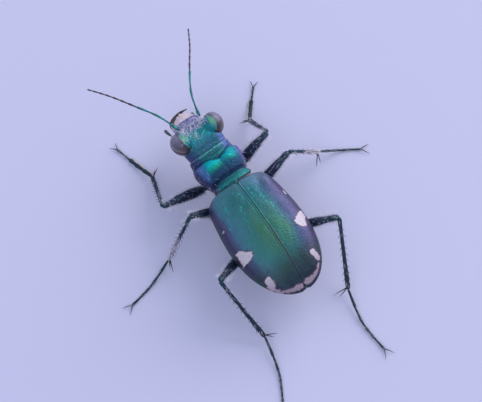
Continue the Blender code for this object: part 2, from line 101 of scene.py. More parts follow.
def linear(code: str) -> Colour:
    """Turn an sRGB hex colour into a linear one.

    Args:
        code: The colour as a hash and six hex digits.

    Returns:
        Red, green, blue and a full alpha.
    """
    channels = [int(code[place:place + 2], 16) / 255.0 for place in (1, 3, 5)]
    bright = [((value + 0.055) / 1.055) ** 2.4 if value > 0.04045 else value / 12.92
              for value in channels]
    return Vector((*bright, 1.0))


def lerp(first: Any, last: Any, share: float) -> Any:
    """The number or vector a share of the way from the first to the last."""
    return first + (last - first) * share


def smooth(low: float, high: float, value: float) -> float:
    """Rise gently from 0 at the low value to 1 at the high one."""
    share = min(max((value - low) / (high - low), 0.0), 1.0)
    return share * share * (3.0 - 2.0 * share)


def bell(value: float, centre: float, width: float) -> float:
    """A soft bump of height 1 round a centre."""
    return math.exp(-((value - centre) / width) ** 2)


def turned(degrees: float, x: float, y: float) -> Matrix:
    """A turn about an upright axis through a place."""
    pivot = Vector((x, y, 0.0))
    return (Matrix.Translation(pivot) @ Matrix.Rotation(math.radians(degrees), 4, "Z")
            @ Matrix.Translation(-pivot))


HEAD_POSE = turned(3.5, 0.0, -3.0)
SHIELD_POSE = turned(4.0, 0.7, -1.9)


def glide(rows: Sequence[Sequence[float]], share: float) -> list[float]:
    """Read evenly counted rows of numbers at a share of the way through them.

    Args:
        rows: The rows, all of one length.
        share: The place between the first row and the last, 0 to 1.

    Returns:
        One row on the smooth curve through them.
    """
    place = min(max(share, 0.0), 1.0) * (len(rows) - 1)
    index = min(int(place), len(rows) - 2)
    t = place - index
    around = (rows[max(index - 1, 0)], rows[index], rows[index + 1],
              rows[min(index + 2, len(rows) - 1)])
    return [b + 0.5 * t * (c - a + t * (2 * a - 5 * b + 4 * c - d + t * (3 * (b - c) + d - a)))
            for a, b, c, d in zip(*around)]


def step_through(rows: Sequence[Sequence[float]], share: float) -> float:
    """Read rows of place and value at a place, easing between neighbours."""
    for (start, low), (end, high) in zip(rows, rows[1:]):
        if share <= end:
            return lerp(low, high, smooth(start, end, share))
    return rows[-1][1]


def add_node(tree: bpy.types.NodeTree, kind: str, inputs: dict[Any, Any] | None = None,
             **settings: Any) -> bpy.types.Node:
    """Add a shader node with its settings and links.

    Args:
        tree: The node tree that gets it.
        kind: The node's type name.
        inputs: Sockets by name or number, each with an output to link or a value to hold.
        **settings: The node's own properties.

    Returns:
        The new node.
    """
    node = tree.nodes.new(kind)
    for name, value in settings.items():
        setattr(node, name, value)
    for key, value in (inputs or {}).items():
        if isinstance(value, bpy.types.NodeSocket):
            tree.links.new(value, node.inputs[key])
        else:
            node.inputs[key].default_value = value
    return node


# Finishes


class Sculpture(Enum):
    """Ways in which a hard skin is sculptured."""

    PITS = "pits"
    DOTS = "dots"
    NET = "net"
    WRINKLES = "wrinkles"


@dataclass(frozen=True)
class Relief:
    """One layer of fine sculpture: its kind, spacing and depth in millimetres."""

    kind: Sculpture
    spacing: float
    depth: float
    stretch: tuple[float, float, float] = (1.0, 1.0, 1.0)
    # painted shade: how much darker the colour is made in the hollows
    shade: float = 0.0

    def height(self, tree: bpy.types.NodeTree, place: bpy.types.NodeSocket) -> bpy.types.NodeSocket:
        """Draw the layer as a height from 0 in its hollows to 1 on its ridges.

        Args:
            tree: The material's node tree.
            place: Coordinates in millimetres.

        Returns:
            The socket that gives the height.
        """
        turned = add_node(tree, "ShaderNodeMapping", {"Vector": place, "Scale": self.stretch})
        scale = 1.0 / self.spacing
        if self.kind is Sculpture.WRINKLES:
            grain = add_node(tree, "ShaderNodeTexNoise",
                             {"Vector": turned.outputs[0], "Scale": scale, "Detail": 2.0,
                              "Roughness": 0.55})
            limits = (0.32, 0.62)
            value = grain.outputs[0]
        else:
            feature = "DISTANCE_TO_EDGE" if self.kind is Sculpture.NET else "F1"
            grain = add_node(tree, "ShaderNodeTexVoronoi",
                             {"Vector": turned.outputs[0], "Scale": scale}, feature=feature)
            limits = {Sculpture.PITS: (0.12, 0.5), Sculpture.DOTS: (0.06, 0.15),
                      Sculpture.NET: (0.22, 0.0)}[self.kind]
            value = grain.outputs["Distance"]
        return add_node(tree, "ShaderNodeMapRange",
                        {"Value": value, 1: limits[0], 2: limits[1]}).outputs[0]


@dataclass(frozen=True)
class Stain:
    """A second colour that clouds the first one in patches of a size in millimetres."""

    colour: str
    spacing: float
    cover: float
    stretch: tuple[float, float, float] = (1.0, 1.0, 1.0)

    def mixed(self, tree: bpy.types.NodeTree, place: bpy.types.NodeSocket,
              base: bpy.types.NodeSocket) -> bpy.types.NodeSocket:
        """Lay the stain over a colour.

        Args:
            tree: The material's node tree.
            place: Coordinates in millimetres.
            base: The colour under the stain.

        Returns:
            The stained colour.
        """
        turned = add_node(tree, "ShaderNodeMapping", {"Vector": place, "Scale": self.stretch})
        cloud = add_node(tree, "ShaderNodeTexNoise",
                         {"Vector": turned.outputs[0], "Scale": 1.0 / self.spacing,
                          "Detail": 3.0, "Roughness": 0.6})
        amount = add_node(tree, "ShaderNodeMapRange",
                          {"Value": cloud.outputs[0], 1: 0.42, 2: 0.68, 4: self.cover})
        return add_node(tree, "ShaderNodeMix",
                        {0: amount.outputs[0], 6: base, 7: linear(self.colour)},
                        data_type="RGBA").outputs[2]


@dataclass(frozen=True)
class Finish:
    """A hard or downy skin, coloured by the tint painted on a piece's points."""

    name: str
    metallic: float
    roughness: float
    rough_spread: float = 0.08
    coat: float = 0.0
    sheen: float = 0.0
    ior: float = 1.56
    reliefs: tuple[Relief, ...] = ()
    stains: tuple[Stain, ...] = ()

    def colour(self, tree: bpy.types.NodeTree,
               place: bpy.types.NodeSocket) -> bpy.types.NodeSocket:
        """The painted tint with its stains."""
        shade = add_node(tree, "ShaderNodeAttribute", attribute_name="tint").outputs["Color"]
        for stain in self.stains:
            shade = stain.mixed(tree, place, shade)
        return shade

    def metal(self, tree: bpy.types.NodeTree,
              place: bpy.types.NodeSocket) -> bpy.types.NodeSocket | float:
        """How metallic the surface is, as one number or as a socket where it changes."""
        return self.metallic

    def material(self) -> bpy.types.Material:
        """Make the material on first use, and hand out the same one after that."""
        found = bpy.data.materials.get(self.name)
        if found is not None:
            return found
        material = bpy.data.materials.new(self.name)
        material.use_nodes = True
        tree = material.node_tree
        tree.nodes.clear()
        coordinates = add_node(tree, "ShaderNodeTexCoord")
        place = add_node(tree, "ShaderNodeMapping",
                         {"Vector": coordinates.outputs["Object"],
                          "Scale": (1.0 / MM, 1.0 / MM, 1.0 / MM)}).outputs[0]
        colour = self.colour(tree, place)
        normal = None
        for relief in self.reliefs:
            height = relief.height(tree, place)
            # painted shade: darken the colour in the relief's hollows
            if relief.shade:
                hollow = add_node(tree, "ShaderNodeMapRange",
                                  {"Value": height, 3: 1.0 - relief.shade, 4: 1.0}).outputs[0]
                colour = add_node(tree, "ShaderNodeVectorMath", {0: colour, 3: hollow},
                                  operation="SCALE").outputs[0]
            links = {"Height": height, "Distance": relief.depth * MM}
            if normal is not None:
                links["Normal"] = normal
            normal = add_node(tree, "ShaderNodeBump", links).outputs[0]
        cloud = add_node(tree, "ShaderNodeTexNoise", {"Vector": place, "Scale": 2.2,
                                                      "Detail": 3.0})
        rough = add_node(tree, "ShaderNodeMapRange",
                         {"Value": cloud.outputs[0], 1: 0.3, 2: 0.7,
                          3: self.roughness - self.rough_spread,
                          4: self.roughness + self.rough_spread})
        inputs = {"Base Color": colour, "Metallic": self.metal(tree, place),
                  "Roughness": rough.outputs[0], "IOR": self.ior, "Coat Weight": self.coat,
                  "Coat Roughness": 0.12, "Sheen Weight": self.sheen}
        if normal is not None:
            inputs["Normal"] = normal
        shader = add_node(tree, "ShaderNodeBsdfPrincipled", inputs)
        add_node(tree, "ShaderNodeOutputMaterial", {"Surface": shader.outputs[0]})
        return material


@dataclass(frozen=True)
class WingCaseFinish(Finish):
    """Metallic wing case skin with cream spots where the mark on its points is above 0."""

    cream: str = "#d8cccb"
    cream_tip: str = "#9c8b90"
    cream_edge: str = "#5d4a5c"
    wobble: float = 0.035
    tip_y: tuple[float, float] = (4.4, 5.6)

    def mark(self, tree: bpy.types.NodeTree, place: bpy.types.NodeSocket, low: float,
             high: float) -> bpy.types.NodeSocket:
        """The share of cream, from the painted distance to a spot's uneven edge.

        Args:
            tree: The material's node tree.
            place: Coordinates in millimetres.
            low: Distance in millimetres where the mark starts.
            high: Distance in millimetres where it is full.

        Returns:
            The socket that gives the share.
        """
        cloud = add_node(tree, "ShaderNodeTexNoise", {"Vector": place, "Scale": 7.0,
                                                      "Detail": 2.0})
        shift = add_node(tree, "ShaderNodeMapRange",
                         {"Value": cloud.outputs[0], 1: 0.3, 2: 0.7, 3: -self.wobble,
                          4: self.wobble})
        distance = add_node(tree, "ShaderNodeAttribute", attribute_name="mark")
        moved = add_node(tree, "ShaderNodeMath",
                         {0: distance.outputs["Fac"], 1: shift.outputs[0]}, operation="ADD")
        return add_node(tree, "ShaderNodeMapRange",
                        {"Value": moved.outputs[0], 1: low, 2: high}).outputs[0]

    def colour(self, tree: bpy.types.NodeTree,
               place: bpy.types.NodeSocket) -> bpy.types.NodeSocket:
        """The stained tint with the cream spots, duller at the tip, and their dusky edges."""
        shade = super().colour(tree, place)
        split = add_node(tree, "ShaderNodeSeparateXYZ", {0: place})
        rear = add_node(tree, "ShaderNodeMapRange",
                        {"Value": split.outputs[1], 1: self.tip_y[0], 2: self.tip_y[1]})
        cream = add_node(tree, "ShaderNodeMix",
                         {0: rear.outputs[0], 6: linear(self.cream), 7: linear(self.cream_tip)},
                         data_type="RGBA")
        edge = add_node(tree, "ShaderNodeMix",
                        {0: self.mark(tree, place, -0.07, -0.01), 6: shade,
                         7: linear(self.cream_edge)}, data_type="RGBA")
        return add_node(tree, "ShaderNodeMix",
                        {0: self.mark(tree, place, -0.01, 0.03), 6: edge.outputs[2],
                         7: cream.outputs[2]}, data_type="RGBA").outputs[2]

    def metal(self, tree: bpy.types.NodeTree,
              place: bpy.types.NodeSocket) -> bpy.types.NodeSocket | float:
        """Metallic outside the spots and plain inside them."""
        return add_node(tree, "ShaderNodeMapRange",
                        {"Value": self.mark(tree, place, -0.01, 0.03), 3: self.metallic,
                         4: 0.0}).outputs[0]


# Wing case cuticle: layered chitin that shines like satin metal, with punctures about
# 0.15 mm apart that catch the light at the bottom, painted shade in the hollows of its
# pits and dots, and a fine grain between them
WING_CASE = WingCaseFinish(
    "iridescent_wing_case_cuticle", metallic=0.72, roughness=0.42, rough_spread=0.07,
    reliefs=(Relief(Sculpture.PITS, 0.14, 0.008, shade=0.13),
             Relief(Sculpture.DOTS, 0.34, 0.016, shade=0.40),
             Relief(Sculpture.NET, 0.055, 0.003)),
    stains=(Stain("#3d6f5a", 0.9, 0.12), Stain("#4f6694", 0.45, 0.12)))

# Shield of the prothorax: brightly metallic chitin thrown into fine cross wrinkles
SHIELD = Finish(
    "wrinkled_shield_cuticle", metallic=0.78, roughness=0.33, rough_spread=0.09,
    reliefs=(Relief(Sculpture.WRINKLES, 0.15, 0.026, (1.0, 2.4, 1.0), 0.30),
             Relief(Sculpture.PITS, 0.07, 0.006)),
    stains=(Stain("#1c5c84", 0.35, 0.12),))

# Head capsule: metallic chitin with fine lengthwise scratches beside the eyes
HEAD_SKIN = Finish(
    "scratched_head_cuticle", metallic=0.75, roughness=0.36, rough_spread=0.09,
    reliefs=(Relief(Sculpture.WRINKLES, 0.13, 0.024, (2.6, 1.0, 1.0), 0.32),
             Relief(Sculpture.PITS, 0.06, 0.006)),
    stains=(Stain("#4a64a6", 0.4, 0.2), Stain("#5faa78", 0.5, 0.15)))

# Underside: dark metallic chitin, smoother than the back
BELLY_SKIN = Finish(
    "dark_underside_cuticle", metallic=0.6, roughness=0.34,
    reliefs=(Relief(Sculpture.PITS, 0.22, 0.02, shade=0.2),
             Relief(Sculpture.NET, 0.07, 0.005)),
    stains=(Stain("#3a2f5e", 0.8, 0.4),))

# Compound eye: clear lens skin over grey-brown, drawn with facets of 0.05 mm because
# the real ones of 0.025 mm are too fine to show
EYE_SKIN = Finish(
    "faceted_eye_lens", metallic=0.0, roughness=0.30, rough_spread=0.04, coat=0.7,
    reliefs=(Relief(Sculpture.NET, 0.050, 0.006, shade=0.18),),
    stains=(Stain("#3d3534", 0.28, 0.45),))

# Upper lip: ivory-coloured chitin without metal, half matte
LIP_SKIN = Finish(
    "ivory_lip_cuticle", metallic=0.0, roughness=0.42, coat=0.15,
    reliefs=(Relief(Sculpture.WRINKLES, 0.12, 0.012),),
    stains=(Stain("#b79a86", 0.35, 0.35),))

# Jaw: hard dark brown chitin, glossy like horn
JAW_SKIN = Finish(
    "polished_jaw_horn", metallic=0.0, roughness=0.22, rough_spread=0.05, coat=0.4,
    reliefs=(Relief(Sculpture.WRINKLES, 0.15, 0.008, (1.0, 1.0, 2.0)),))

# Leg: dark metallic chitin with a grain of fine hair sockets
LEG_SKIN = Finish(
    "metallic_leg_cuticle", metallic=0.65, roughness=0.32, rough_spread=0.08,
    reliefs=(Relief(Sculpture.PITS, 0.10, 0.015, shade=0.25),),
    stains=(Stain("#35305c", 0.5, 0.35),))

# Feeler lash: dull brown chitin under a down too fine to see
LASH_SKIN = Finish(
    "downy_feeler_skin", metallic=0.05, roughness=0.62, sheen=0.25,
    reliefs=(Relief(Sculpture.PITS, 0.04, 0.006, shade=0.2),))

# Hair: white unpigmented setae, slightly glossy
HAIR_SKIN = Finish("white_seta", metallic=0.0, roughness=0.45, ior=1.55)

# Foot pads: a felt of cream hair
PAD_SKIN = Finish("cream_foot_felt", metallic=0.0, roughness=0.8, sheen=0.3,
                  reliefs=(Relief(Sculpture.WRINKLES, 0.03, 0.012, shade=0.3),))


# Shaping


class Route:
    """A smooth curve through a few points, walked by its length."""

    def __init__(self, points: Sequence[Sequence[float]], samples: int = 100) -> None:
        """Measure the curve in small straight steps.

        Args:
            points: The points that it passes.
            samples: How many steps it is measured in.
        """
        self.marks = [Vector(glide(points, index / samples)) for index in range(samples + 1)]
        self.reach = [0.0]
        for before, after in zip(self.marks, self.marks[1:]):
            self.reach.append(self.reach[-1] + (after - before).length)
        self.length = self.reach[-1]

    def at(self, share: float) -> Vector:
        """The point a share of the length along; it runs straight on past both ends."""
        goal = share * self.length
        if goal <= 0.0:
            return self.marks[0] + (self.marks[1] - self.marks[0]).normalized() * goal
        if goal >= self.length:
            ahead = (self.marks[-1] - self.marks[-2]).normalized()
            return self.marks[-1] + ahead * (goal - self.length)
        low, high = 0, len(self.reach) - 1
        while high - low > 1:
            middle = (low + high) // 2
            if self.reach[middle] <= goal:
                low = middle
            else:
                high = middle
        part = (goal - self.reach[low]) / (self.reach[high] - self.reach[low])
        return lerp(self.marks[low], self.marks[high], part)

    def along(self, share: float) -> Vector:
        """The direction of the curve a share of the length along."""
        return (self.at(share + 0.01) - self.at(share - 0.01)).normalized()


def outward(bm: bmesh.types.BMesh) -> bmesh.types.BMesh:
    """Turn every face of a closed skin to face out."""
    bmesh.ops.recalc_face_normals(bm, faces=bm.faces[:])
    if bm.calc_volume(signed=True) < 0.0:
        bmesh.ops.reverse_faces(bm, faces=bm.faces[:])
    return bm


def gather(skins: Iterable[bmesh.types.BMesh]) -> bmesh.types.BMesh:
    """Put several skins into one mesh, and free them."""
    joined = bmesh.new()
    carrier = bpy.data.meshes.new("carrier")
    for skin in skins:
        skin.to_mesh(carrier)
        skin.free()
        joined.from_mesh(carrier)
    bpy.data.meshes.remove(carrier)
    return joined


@dataclass
class Form(ABC):
    """A closed skin wrapped from a globe: a turn runs round it, a share runs along it."""

    paint: Paint

    @abstractmethod
    def place(self, turn: float, share: float) -> Vector:
        """The point of the skin at a turn round it and a share along it."""

    def root(self, turn: float, share: float) -> tuple[Vector, Vector, Vector]:
        """Where something may grow on the skin.

        Args:
            turn: The turn round the form, in radians.
            share: The share along it, 0 to 1.

        Returns:
            The point, the way out of the skin and the way along it.
        """
        point = self.place(turn, share)
        around = self.place(turn + NUDGE, share) - point
        along = self.place(turn, share + NUDGE) - self.place(turn, share - NUDGE)
        out = around.cross(along).normalized()
        if out.dot(point - self.place(turn + math.pi, share)) < 0.0:
            out.negate()
        return point, out, along.normalized()

    def skin(self, turns: int, rings: int) -> bmesh.types.BMesh:
        """Wrap the form in faces and paint its points.

        Args:
            turns: Faces round it.
            rings: Faces from end to end.

        Returns:
            The closed skin with its tint.
        """
        bm = bmesh.new()
        bmesh.ops.create_uvsphere(bm, u_segments=turns, v_segments=rings, radius=1.0)
        tint = bm.verts.layers.float_color.new("tint")
        for vert in bm.verts:
            turn = math.atan2(vert.co.y, vert.co.x)
            share = math.acos(min(max(-vert.co.z, -1.0), 1.0)) / math.pi
            vert.co = self.place(turn, share)
            vert[tint] = self.paint(vert.co, turn, share)
        return outward(bm)


@dataclass
class Hull(Form):
    """A body part along Y, from rows of place, half width, top, underside and lean."""

    rows: Sequence[Sequence[float]] = ()
    squareness: float = 2.3
    relief: Callable[[Vector, float], float] = lambda point, upward: 0.0

    def place(self, turn: float, share: float) -> Vector:
        """The point of the skin; its relief lifts it away from the part's axis."""
        y, half_width, top, bottom, lean = glide(self.rows, share)
        power = 2.0 / self.squareness
        cosine, sine = math.cos(turn), math.sin(turn)
        x = half_width * math.copysign(abs(cosine) ** power, cosine)
        rise = math.copysign(abs(sine) ** power, sine)
        z = (top + bottom) / 2.0 + (top - bottom) / 2.0 * rise
        lift = self.relief(Vector((x, y, z)), sine)
        return Vector((x + cosine * lift, y + lean * max(rise, 0.0), z + sine * lift))


@dataclass
class Limb(Form):
    """A round piece along a path, from rows of share and radius, with rounded ends."""

    path: Route = None
    profile: Sequence[Sequence[float]] = ((0.0, 0.1), (1.0, 0.1))
    flat: float = 1.0
    up: Vector = field(default_factory=lambda: UP.copy())
    round_off: float = 1.0

    def radius(self, share: float) -> float:
        """The half width at a share of the length."""
        size = step_through(self.profile, share)
        cap = max(size * self.round_off, 1e-5)
        for gone in (share * self.path.length, (1.0 - share) * self.path.length):
            if gone < cap:
                size *= math.sqrt(max(1.0 - (1.0 - gone / cap) ** 2, 0.0))
        return size

    def place(self, turn: float, share: float) -> Vector:
        """The point of the skin; rings lie closer together at both ends."""
        eased = lerp(share, 0.5 - 0.5 * math.cos(math.pi * share), 0.7)
        along = self.path.along(eased)
        side = self.up.cross(along).normalized()
        top = along.cross(side)
        size = self.radius(eased)
        return (self.path.at(eased) + side * size * math.cos(turn)
                + top * size * self.flat * math.sin(turn))


@dataclass
class Globe(Form):
    """An egg shape with its poles to the left and right."""

    centre: Vector = None
    radii: Vector = None
    lean: Matrix = field(default_factory=lambda: Matrix.Identity(3))

    def place(self, turn: float, share: float) -> Vector:
        """The point of the skin."""
        polar = math.pi * share
        ball = Vector((-math.cos(polar), math.sin(polar) * math.cos(turn),
                       math.sin(polar) * math.sin(turn)))
        return self.centre + self.lean @ (ball * self.radii)


def plain(code: str) -> Paint:
    """A paint of one colour all over."""
    colour = linear(code)
    return lambda point, turn, share: colour


def banded(*stops: tuple[float, str]) -> Paint:
    """A paint that changes along a form.

    Args:
        *stops: Shares along the form with the colour there.

    Returns:
        The paint.
    """
    colours = [(place, linear(code)) for place, code in stops]

    def paint(point: Vector, turn: float, share: float) -> Colour:
        """The colour at a share along the form."""
        for (start, low), (end, high) in zip(colours, colours[1:]):
            if share <= end:
                return lerp(low, high, smooth(start, end, share))
        return colours[-1][1]

    return paint


def layered(base: str | Colour, layers: Iterable[tuple[str, float]]) -> Colour:
    """Mix colours one over the other, each with its share."""
    colour = linear(base) if isinstance(base, str) else base
    for code, share in layers:
        colour = lerp(colour, linear(code), min(max(share, 0.0), 1.0))
    return colour


def make_piece(name: str, skins: Iterable[bmesh.types.BMesh], finish: Finish,
               nodes: Sequence[str] = (), pose: Matrix = Matrix.Identity(4)) -> bpy.types.Object:
    """Join skins into one piece in the frame, dress it and tie it to the body.

    Args:
        name: The piece's name.
        skins: Its meshes in millimetres, which are used up.
        finish: What it is made of.
        nodes: The solids that it stands for.
        pose: A turn of the piece in millimetres before it goes into the frame.

    Returns:
        The finished object.
    """
    joined = gather(skins)
    joined.transform(TO_FRAME @ pose)
    mesh = bpy.data.meshes.new(name)
    joined.to_mesh(mesh)
    joined.free()
    mesh.shade_smooth()
    mesh.materials.append(finish.material())
    piece = bpy.data.objects.new(name, mesh)
    bpy.context.scene.collection.objects.link(piece)
    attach(piece, BODY)
    if nodes:
        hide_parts(*nodes)
    LOG.info("%s: %d faces", name, len(mesh.polygons))
    return piece


# Hair


@dataclass(frozen=True)
class Tuft:
    """Hairs on a stretch of a form: where they grow, how long they are and how they lie."""

    form: Form
    count: int
    turns: tuple[float, float]
    shares: tuple[float, float]
    length: tuple[float, float]
    rise: float = 0.6
    sweep: float = 1.0
    spread: float = 0.35
    radius: float = 0.011


@dataclass
class Coat:
    """White hairs as fine curved cones, each unwrapped to its root's place on the skin."""

    name: str
    slot: Slot
    tufts: Sequence[Tuft]
    seed: int
    pose: Matrix = field(default_factory=lambda: Matrix.Identity(4))
    colour: str = "#f6f3f8"
    bend: float = 0.22
    columns: int = 8
    patch: float = 0.003

    def strand(self) -> bmesh.types.BMesh:
        """One hair of unit length and radius, bent towards +X."""
        bm = bmesh.new()
        bmesh.ops.create_cone(bm, cap_ends=True, segments=3, radius1=1.0, radius2=0.18,
                              depth=1.0, matrix=Matrix.Translation((0.0, 0.0, 0.5)))
        sides = [edge for edge in bm.edges
                 if abs(edge.verts[0].co.z - edge.verts[1].co.z) > 0.5]
        bmesh.ops.subdivide_edges(bm, edges=sides, cuts=2)
        tint = bm.verts.layers.float_color.new("tint")
        for vert in bm.verts:
            vert[tint] = linear(self.colour)
        return bm

    def grow(self, tuft: Tuft, cell: int, dice: random.Random) -> bmesh.types.BMesh:
        """Set out the hairs of one tuft.

        Args:
            tuft: Where and how they grow.
            cell: The tuft's place in the unwrap.
            dice: The source of chance.

        Returns:
            All its hairs.
        """
        bm = self.strand()
        first = bm.verts[:] + bm.edges[:] + bm.faces[:]
        unwrap = bm.loops.layers.uv.new("OFBake")
        corner = Vector((cell % self.columns, cell // self.columns)) / self.columns
        for _ in range(tuft.count):
            turn = dice.uniform(*tuft.turns)
            share = dice.uniform(*tuft.shares)
            length = dice.uniform(*tuft.length)
            point, out, along = tuft.form.root(turn, share)
            across = out.cross(along)
            heading = (out * tuft.rise + along * tuft.sweep
                       + across * dice.gauss(0.0, tuft.spread)
                       + along * dice.gauss(0.0, tuft.spread * 0.6)).normalized()
            lean = (along * tuft.sweep - out * 0.6)
            lean = (lean - heading * lean.dot(heading)).normalized()
            copy = bmesh.ops.duplicate(bm, geom=first)["geom"]
            place = Vector(((turn / math.tau) % 1.0, share)) * (0.98 / self.columns)
            for item in copy:
                if isinstance(item, bmesh.types.BMVert):
                    x, y, z = item.co
                    item.co = (point - out * 0.01 + heading * length * z
                               + lean * (length * self.bend * z * z + x * tuft.radius)
                               + heading.cross(lean) * y * tuft.radius)
                elif isinstance(item, bmesh.types.BMFace):
                    for index, loop in enumerate(item.loops):
                        spot = Vector((index % 2, index // 2)) * self.patch / self.columns
                        loop[unwrap].uv = corner + place + spot
        bmesh.ops.delete(bm, geom=[item for item in first
                                   if isinstance(item, bmesh.types.BMVert)], context="VERTS")
        return outward(bm)

    def build(self) -> None:
        """Grow every tuft and make the piece."""
        dice = random.Random(self.seed)
        skins = [self.grow(tuft, cell, dice) for cell, tuft in enumerate(self.tufts)]
        make_piece(self.name, skins, HAIR_SKIN, pose=self.pose)


# Wing cases


@dataclass
class WingCases:
    """The two wing cases: arched shells that meet in a seam, with cream spots."""

    start_y: float = SEAM_START_Y
    length: float = 7.0
    half_width: float = 2.31
    widest: float = 0.47
    top_z: float = 3.95
    highest: float = 0.33
    base_drop: float = 0.3
    apex_drop: float = 1.3
    rim_z: float = 2.56
    rim_sag: float = 0.12
    squareness: float = 2.35
    shoulder_round: float = 0.09
    seam: float = 0.010
    notch_length: float = 0.26
    notch_half_width: float = 0.13
    shades: dict[int, Paint] = field(default_factory=lambda: {
        1: banded((0.0, "#307870"), (0.20, "#388480"), (0.36, "#468888"), (0.50, "#528090"),
                  (0.62, "#585f7c"), (0.74, "#48425c"), (1.0, "#48425a")),
        # the right wing case turns lilac higher up the flank: a painted sheen of the light from that
        # side
        -1: banded((0.0, "#2c7a78"), (0.10, "#2c7278"), (0.22, "#2e5a6c"), (0.36, "#404c68"),
                   (0.50, "#565272"), (0.65, "#4e4664"), (0.80, "#3c3656"), (1.0, "#322d48"))})
    lip: float = 0.14
    lip_share: float = 0.05
    arch_share: float = 0.87
    wall: float = 0.08
    columns: int = 96
    rows: int = 230
    pit_rows: Sequence[Sequence[float]] = (
        (0.58, 0.14, 0.92, 2.60, 15), (1.30, 0.55, 1.72, 1.75, 9), (0.30, 0.20, 0.40, 0.90, 5))
    pit_radius: float = 0.036
    pit_depth: float = 0.022

    def __post_init__(self) -> None:
        """Set out the pits once."""
        self.spots = self.pits()

    def width_at(self, share: float) -> float:
        """Half width of the closed wing cases at a share of their length."""
        if share < self.widest:
            width = 1.0 - 0.19 * (1.0 - share / self.widest) ** 1.76
        else:
            behind = min((share - self.widest) / (1.0 - self.widest), 1.0)
            width = math.sqrt(1.0 - behind ** 2.1)
        if share < self.shoulder_round:
            corner = 1.0 - max(share, 0.0) / self.shoulder_round
            width *= lerp(1.0, 0.80, 1.0 - math.sqrt(1.0 - corner * corner))
        return self.half_width * width

    def top_at(self, share: float) -> float:
        """Height of the back at a share of the length."""
        if share < self.highest:
            return self.top_z - self.base_drop * (1.0 - share / self.highest) ** 2
        behind = (share - self.highest) / (1.0 - self.highest)
        return self.top_z - self.apex_drop * behind ** 2.5

    def rim_at(self, share: float) -> float:
        """Height of the outer rim at a share of the length."""
        return self.rim_z - self.rim_sag * math.sin(math.pi * min(max(share, 0.0), 1.0))

    def pits(self) -> list[tuple[float, float, float]]:
        """Places and strengths of the uneven rows of bright pits near the front."""
        dice = random.Random(7)
        spots = []
        for first_x, first_y, last_x, last_y, count in self.pit_rows:
            for index in range(count):
                share = index / (count - 1)
                spots.append((lerp(first_x, last_x, share) + dice.uniform(-0.10, 0.10),
                              lerp(first_y, last_y, share) + dice.uniform(-0.08, 0.08),
                              dice.uniform(0.10, 0.75)))
        return spots

    def lift(self, x: float, y: float) -> float:
        """Swellings and hollows of the back, in millimetres."""
        bump = 0.07 * bell(x, 1.50, 0.30) * bell(y, 0.15, 0.42)
        bump -= 0.06 * bell(x, 1.02, 0.26) * bell(y, 0.30, 0.40)
        bump += 0.03 * bell(x, 0.55, 0.30) * bell(y, 0.35, 0.40)
        bump += 0.012 * bell(x, 0.03, 0.045) - 0.010 * bell(x, 0.12, 0.05)
        bump -= 0.03 * bell(x, 1.15, 0.35) * bell(y, 2.3, 0.7)
        bump += 0.014 * noise.noise(Vector((x * 2.2, y * 1.6, 3.0)))
        for pit_x, pit_y, strength in self.spots:
            away = math.hypot(x - pit_x, y - pit_y)
            if away < self.pit_radius * 2.5:
                bump -= self.pit_depth * strength * bell(away, 0.0, self.pit_radius)
        return bump

    def place(self, across: float, along: float) -> tuple[Vector, float, float]:
        """One point of the left wing case's outer face.

        Args:
            across: 0 at the seam to 1 at the edge turned under the side.
            along: 0 at the front edge to 1 at the tip.

        Returns:
            The point, its share of the arch from seam to rim, and its share of the length.
        """
        fold = min(along / self.lip_share, 1.0)
        rest = max(along - self.lip_share, 0.0) / (1.0 - self.lip_share)
        if rest < 0.45:
            reach = self.widest * (rest / 0.45) ** 1.2
        else:
            reach = lerp(self.widest, 1.0, math.sin(math.radians(84.0) * (rest - 0.45) / 0.55))
        turn = math.radians(90.0) * fold
        y = self.start_y + self.lip * (1.0 - math.cos(turn)) + (self.length - self.lip) * reach
        sunk = self.lip * (1.0 - math.sin(turn)) + 0.30 * max(0.35 - fold, 0.0)
        share = (y - self.start_y) / self.length
        notch = max(1.0 - (y - self.start_y) / self.notch_length, 0.0)
        inner = self.seam + self.notch_half_width * notch ** 0.9
        width = self.width_at(share) - inner
        rim = self.rim_at(share)
        height = self.top_at(share) - rim
        arch = min(across / self.arch_share, 1.0)
        angle = math.radians(90.0) * arch
        power = 2.0 / self.squareness
        x = inner + width * math.sin(angle) ** power
        z = rim + height * math.cos(angle) ** power
        border = max(across - self.arch_share, 0.0) / (1.0 - self.arch_share)
        scale = min(width / 0.8, 1.0)
        bead = 0.035 * bell(arch, 1.0, 0.035) * (1.0 - border)
        x += scale * (bead - 0.34 * smooth(0.12, 1.0, border))
        z -= scale * (0.07 * smooth(0.0, 0.35, border) - 0.03 * smooth(0.5, 1.0, border))
        if border == 0.0:
            raised = self.lift(x, y) * smooth(0.0, 0.4, 1.0 - arch) - sunk
            x += raised * math.sin(angle)
            z += raised * math.cos(angle)
        else:
            x -= sunk
        return Vector((x, y, z)), arch, share

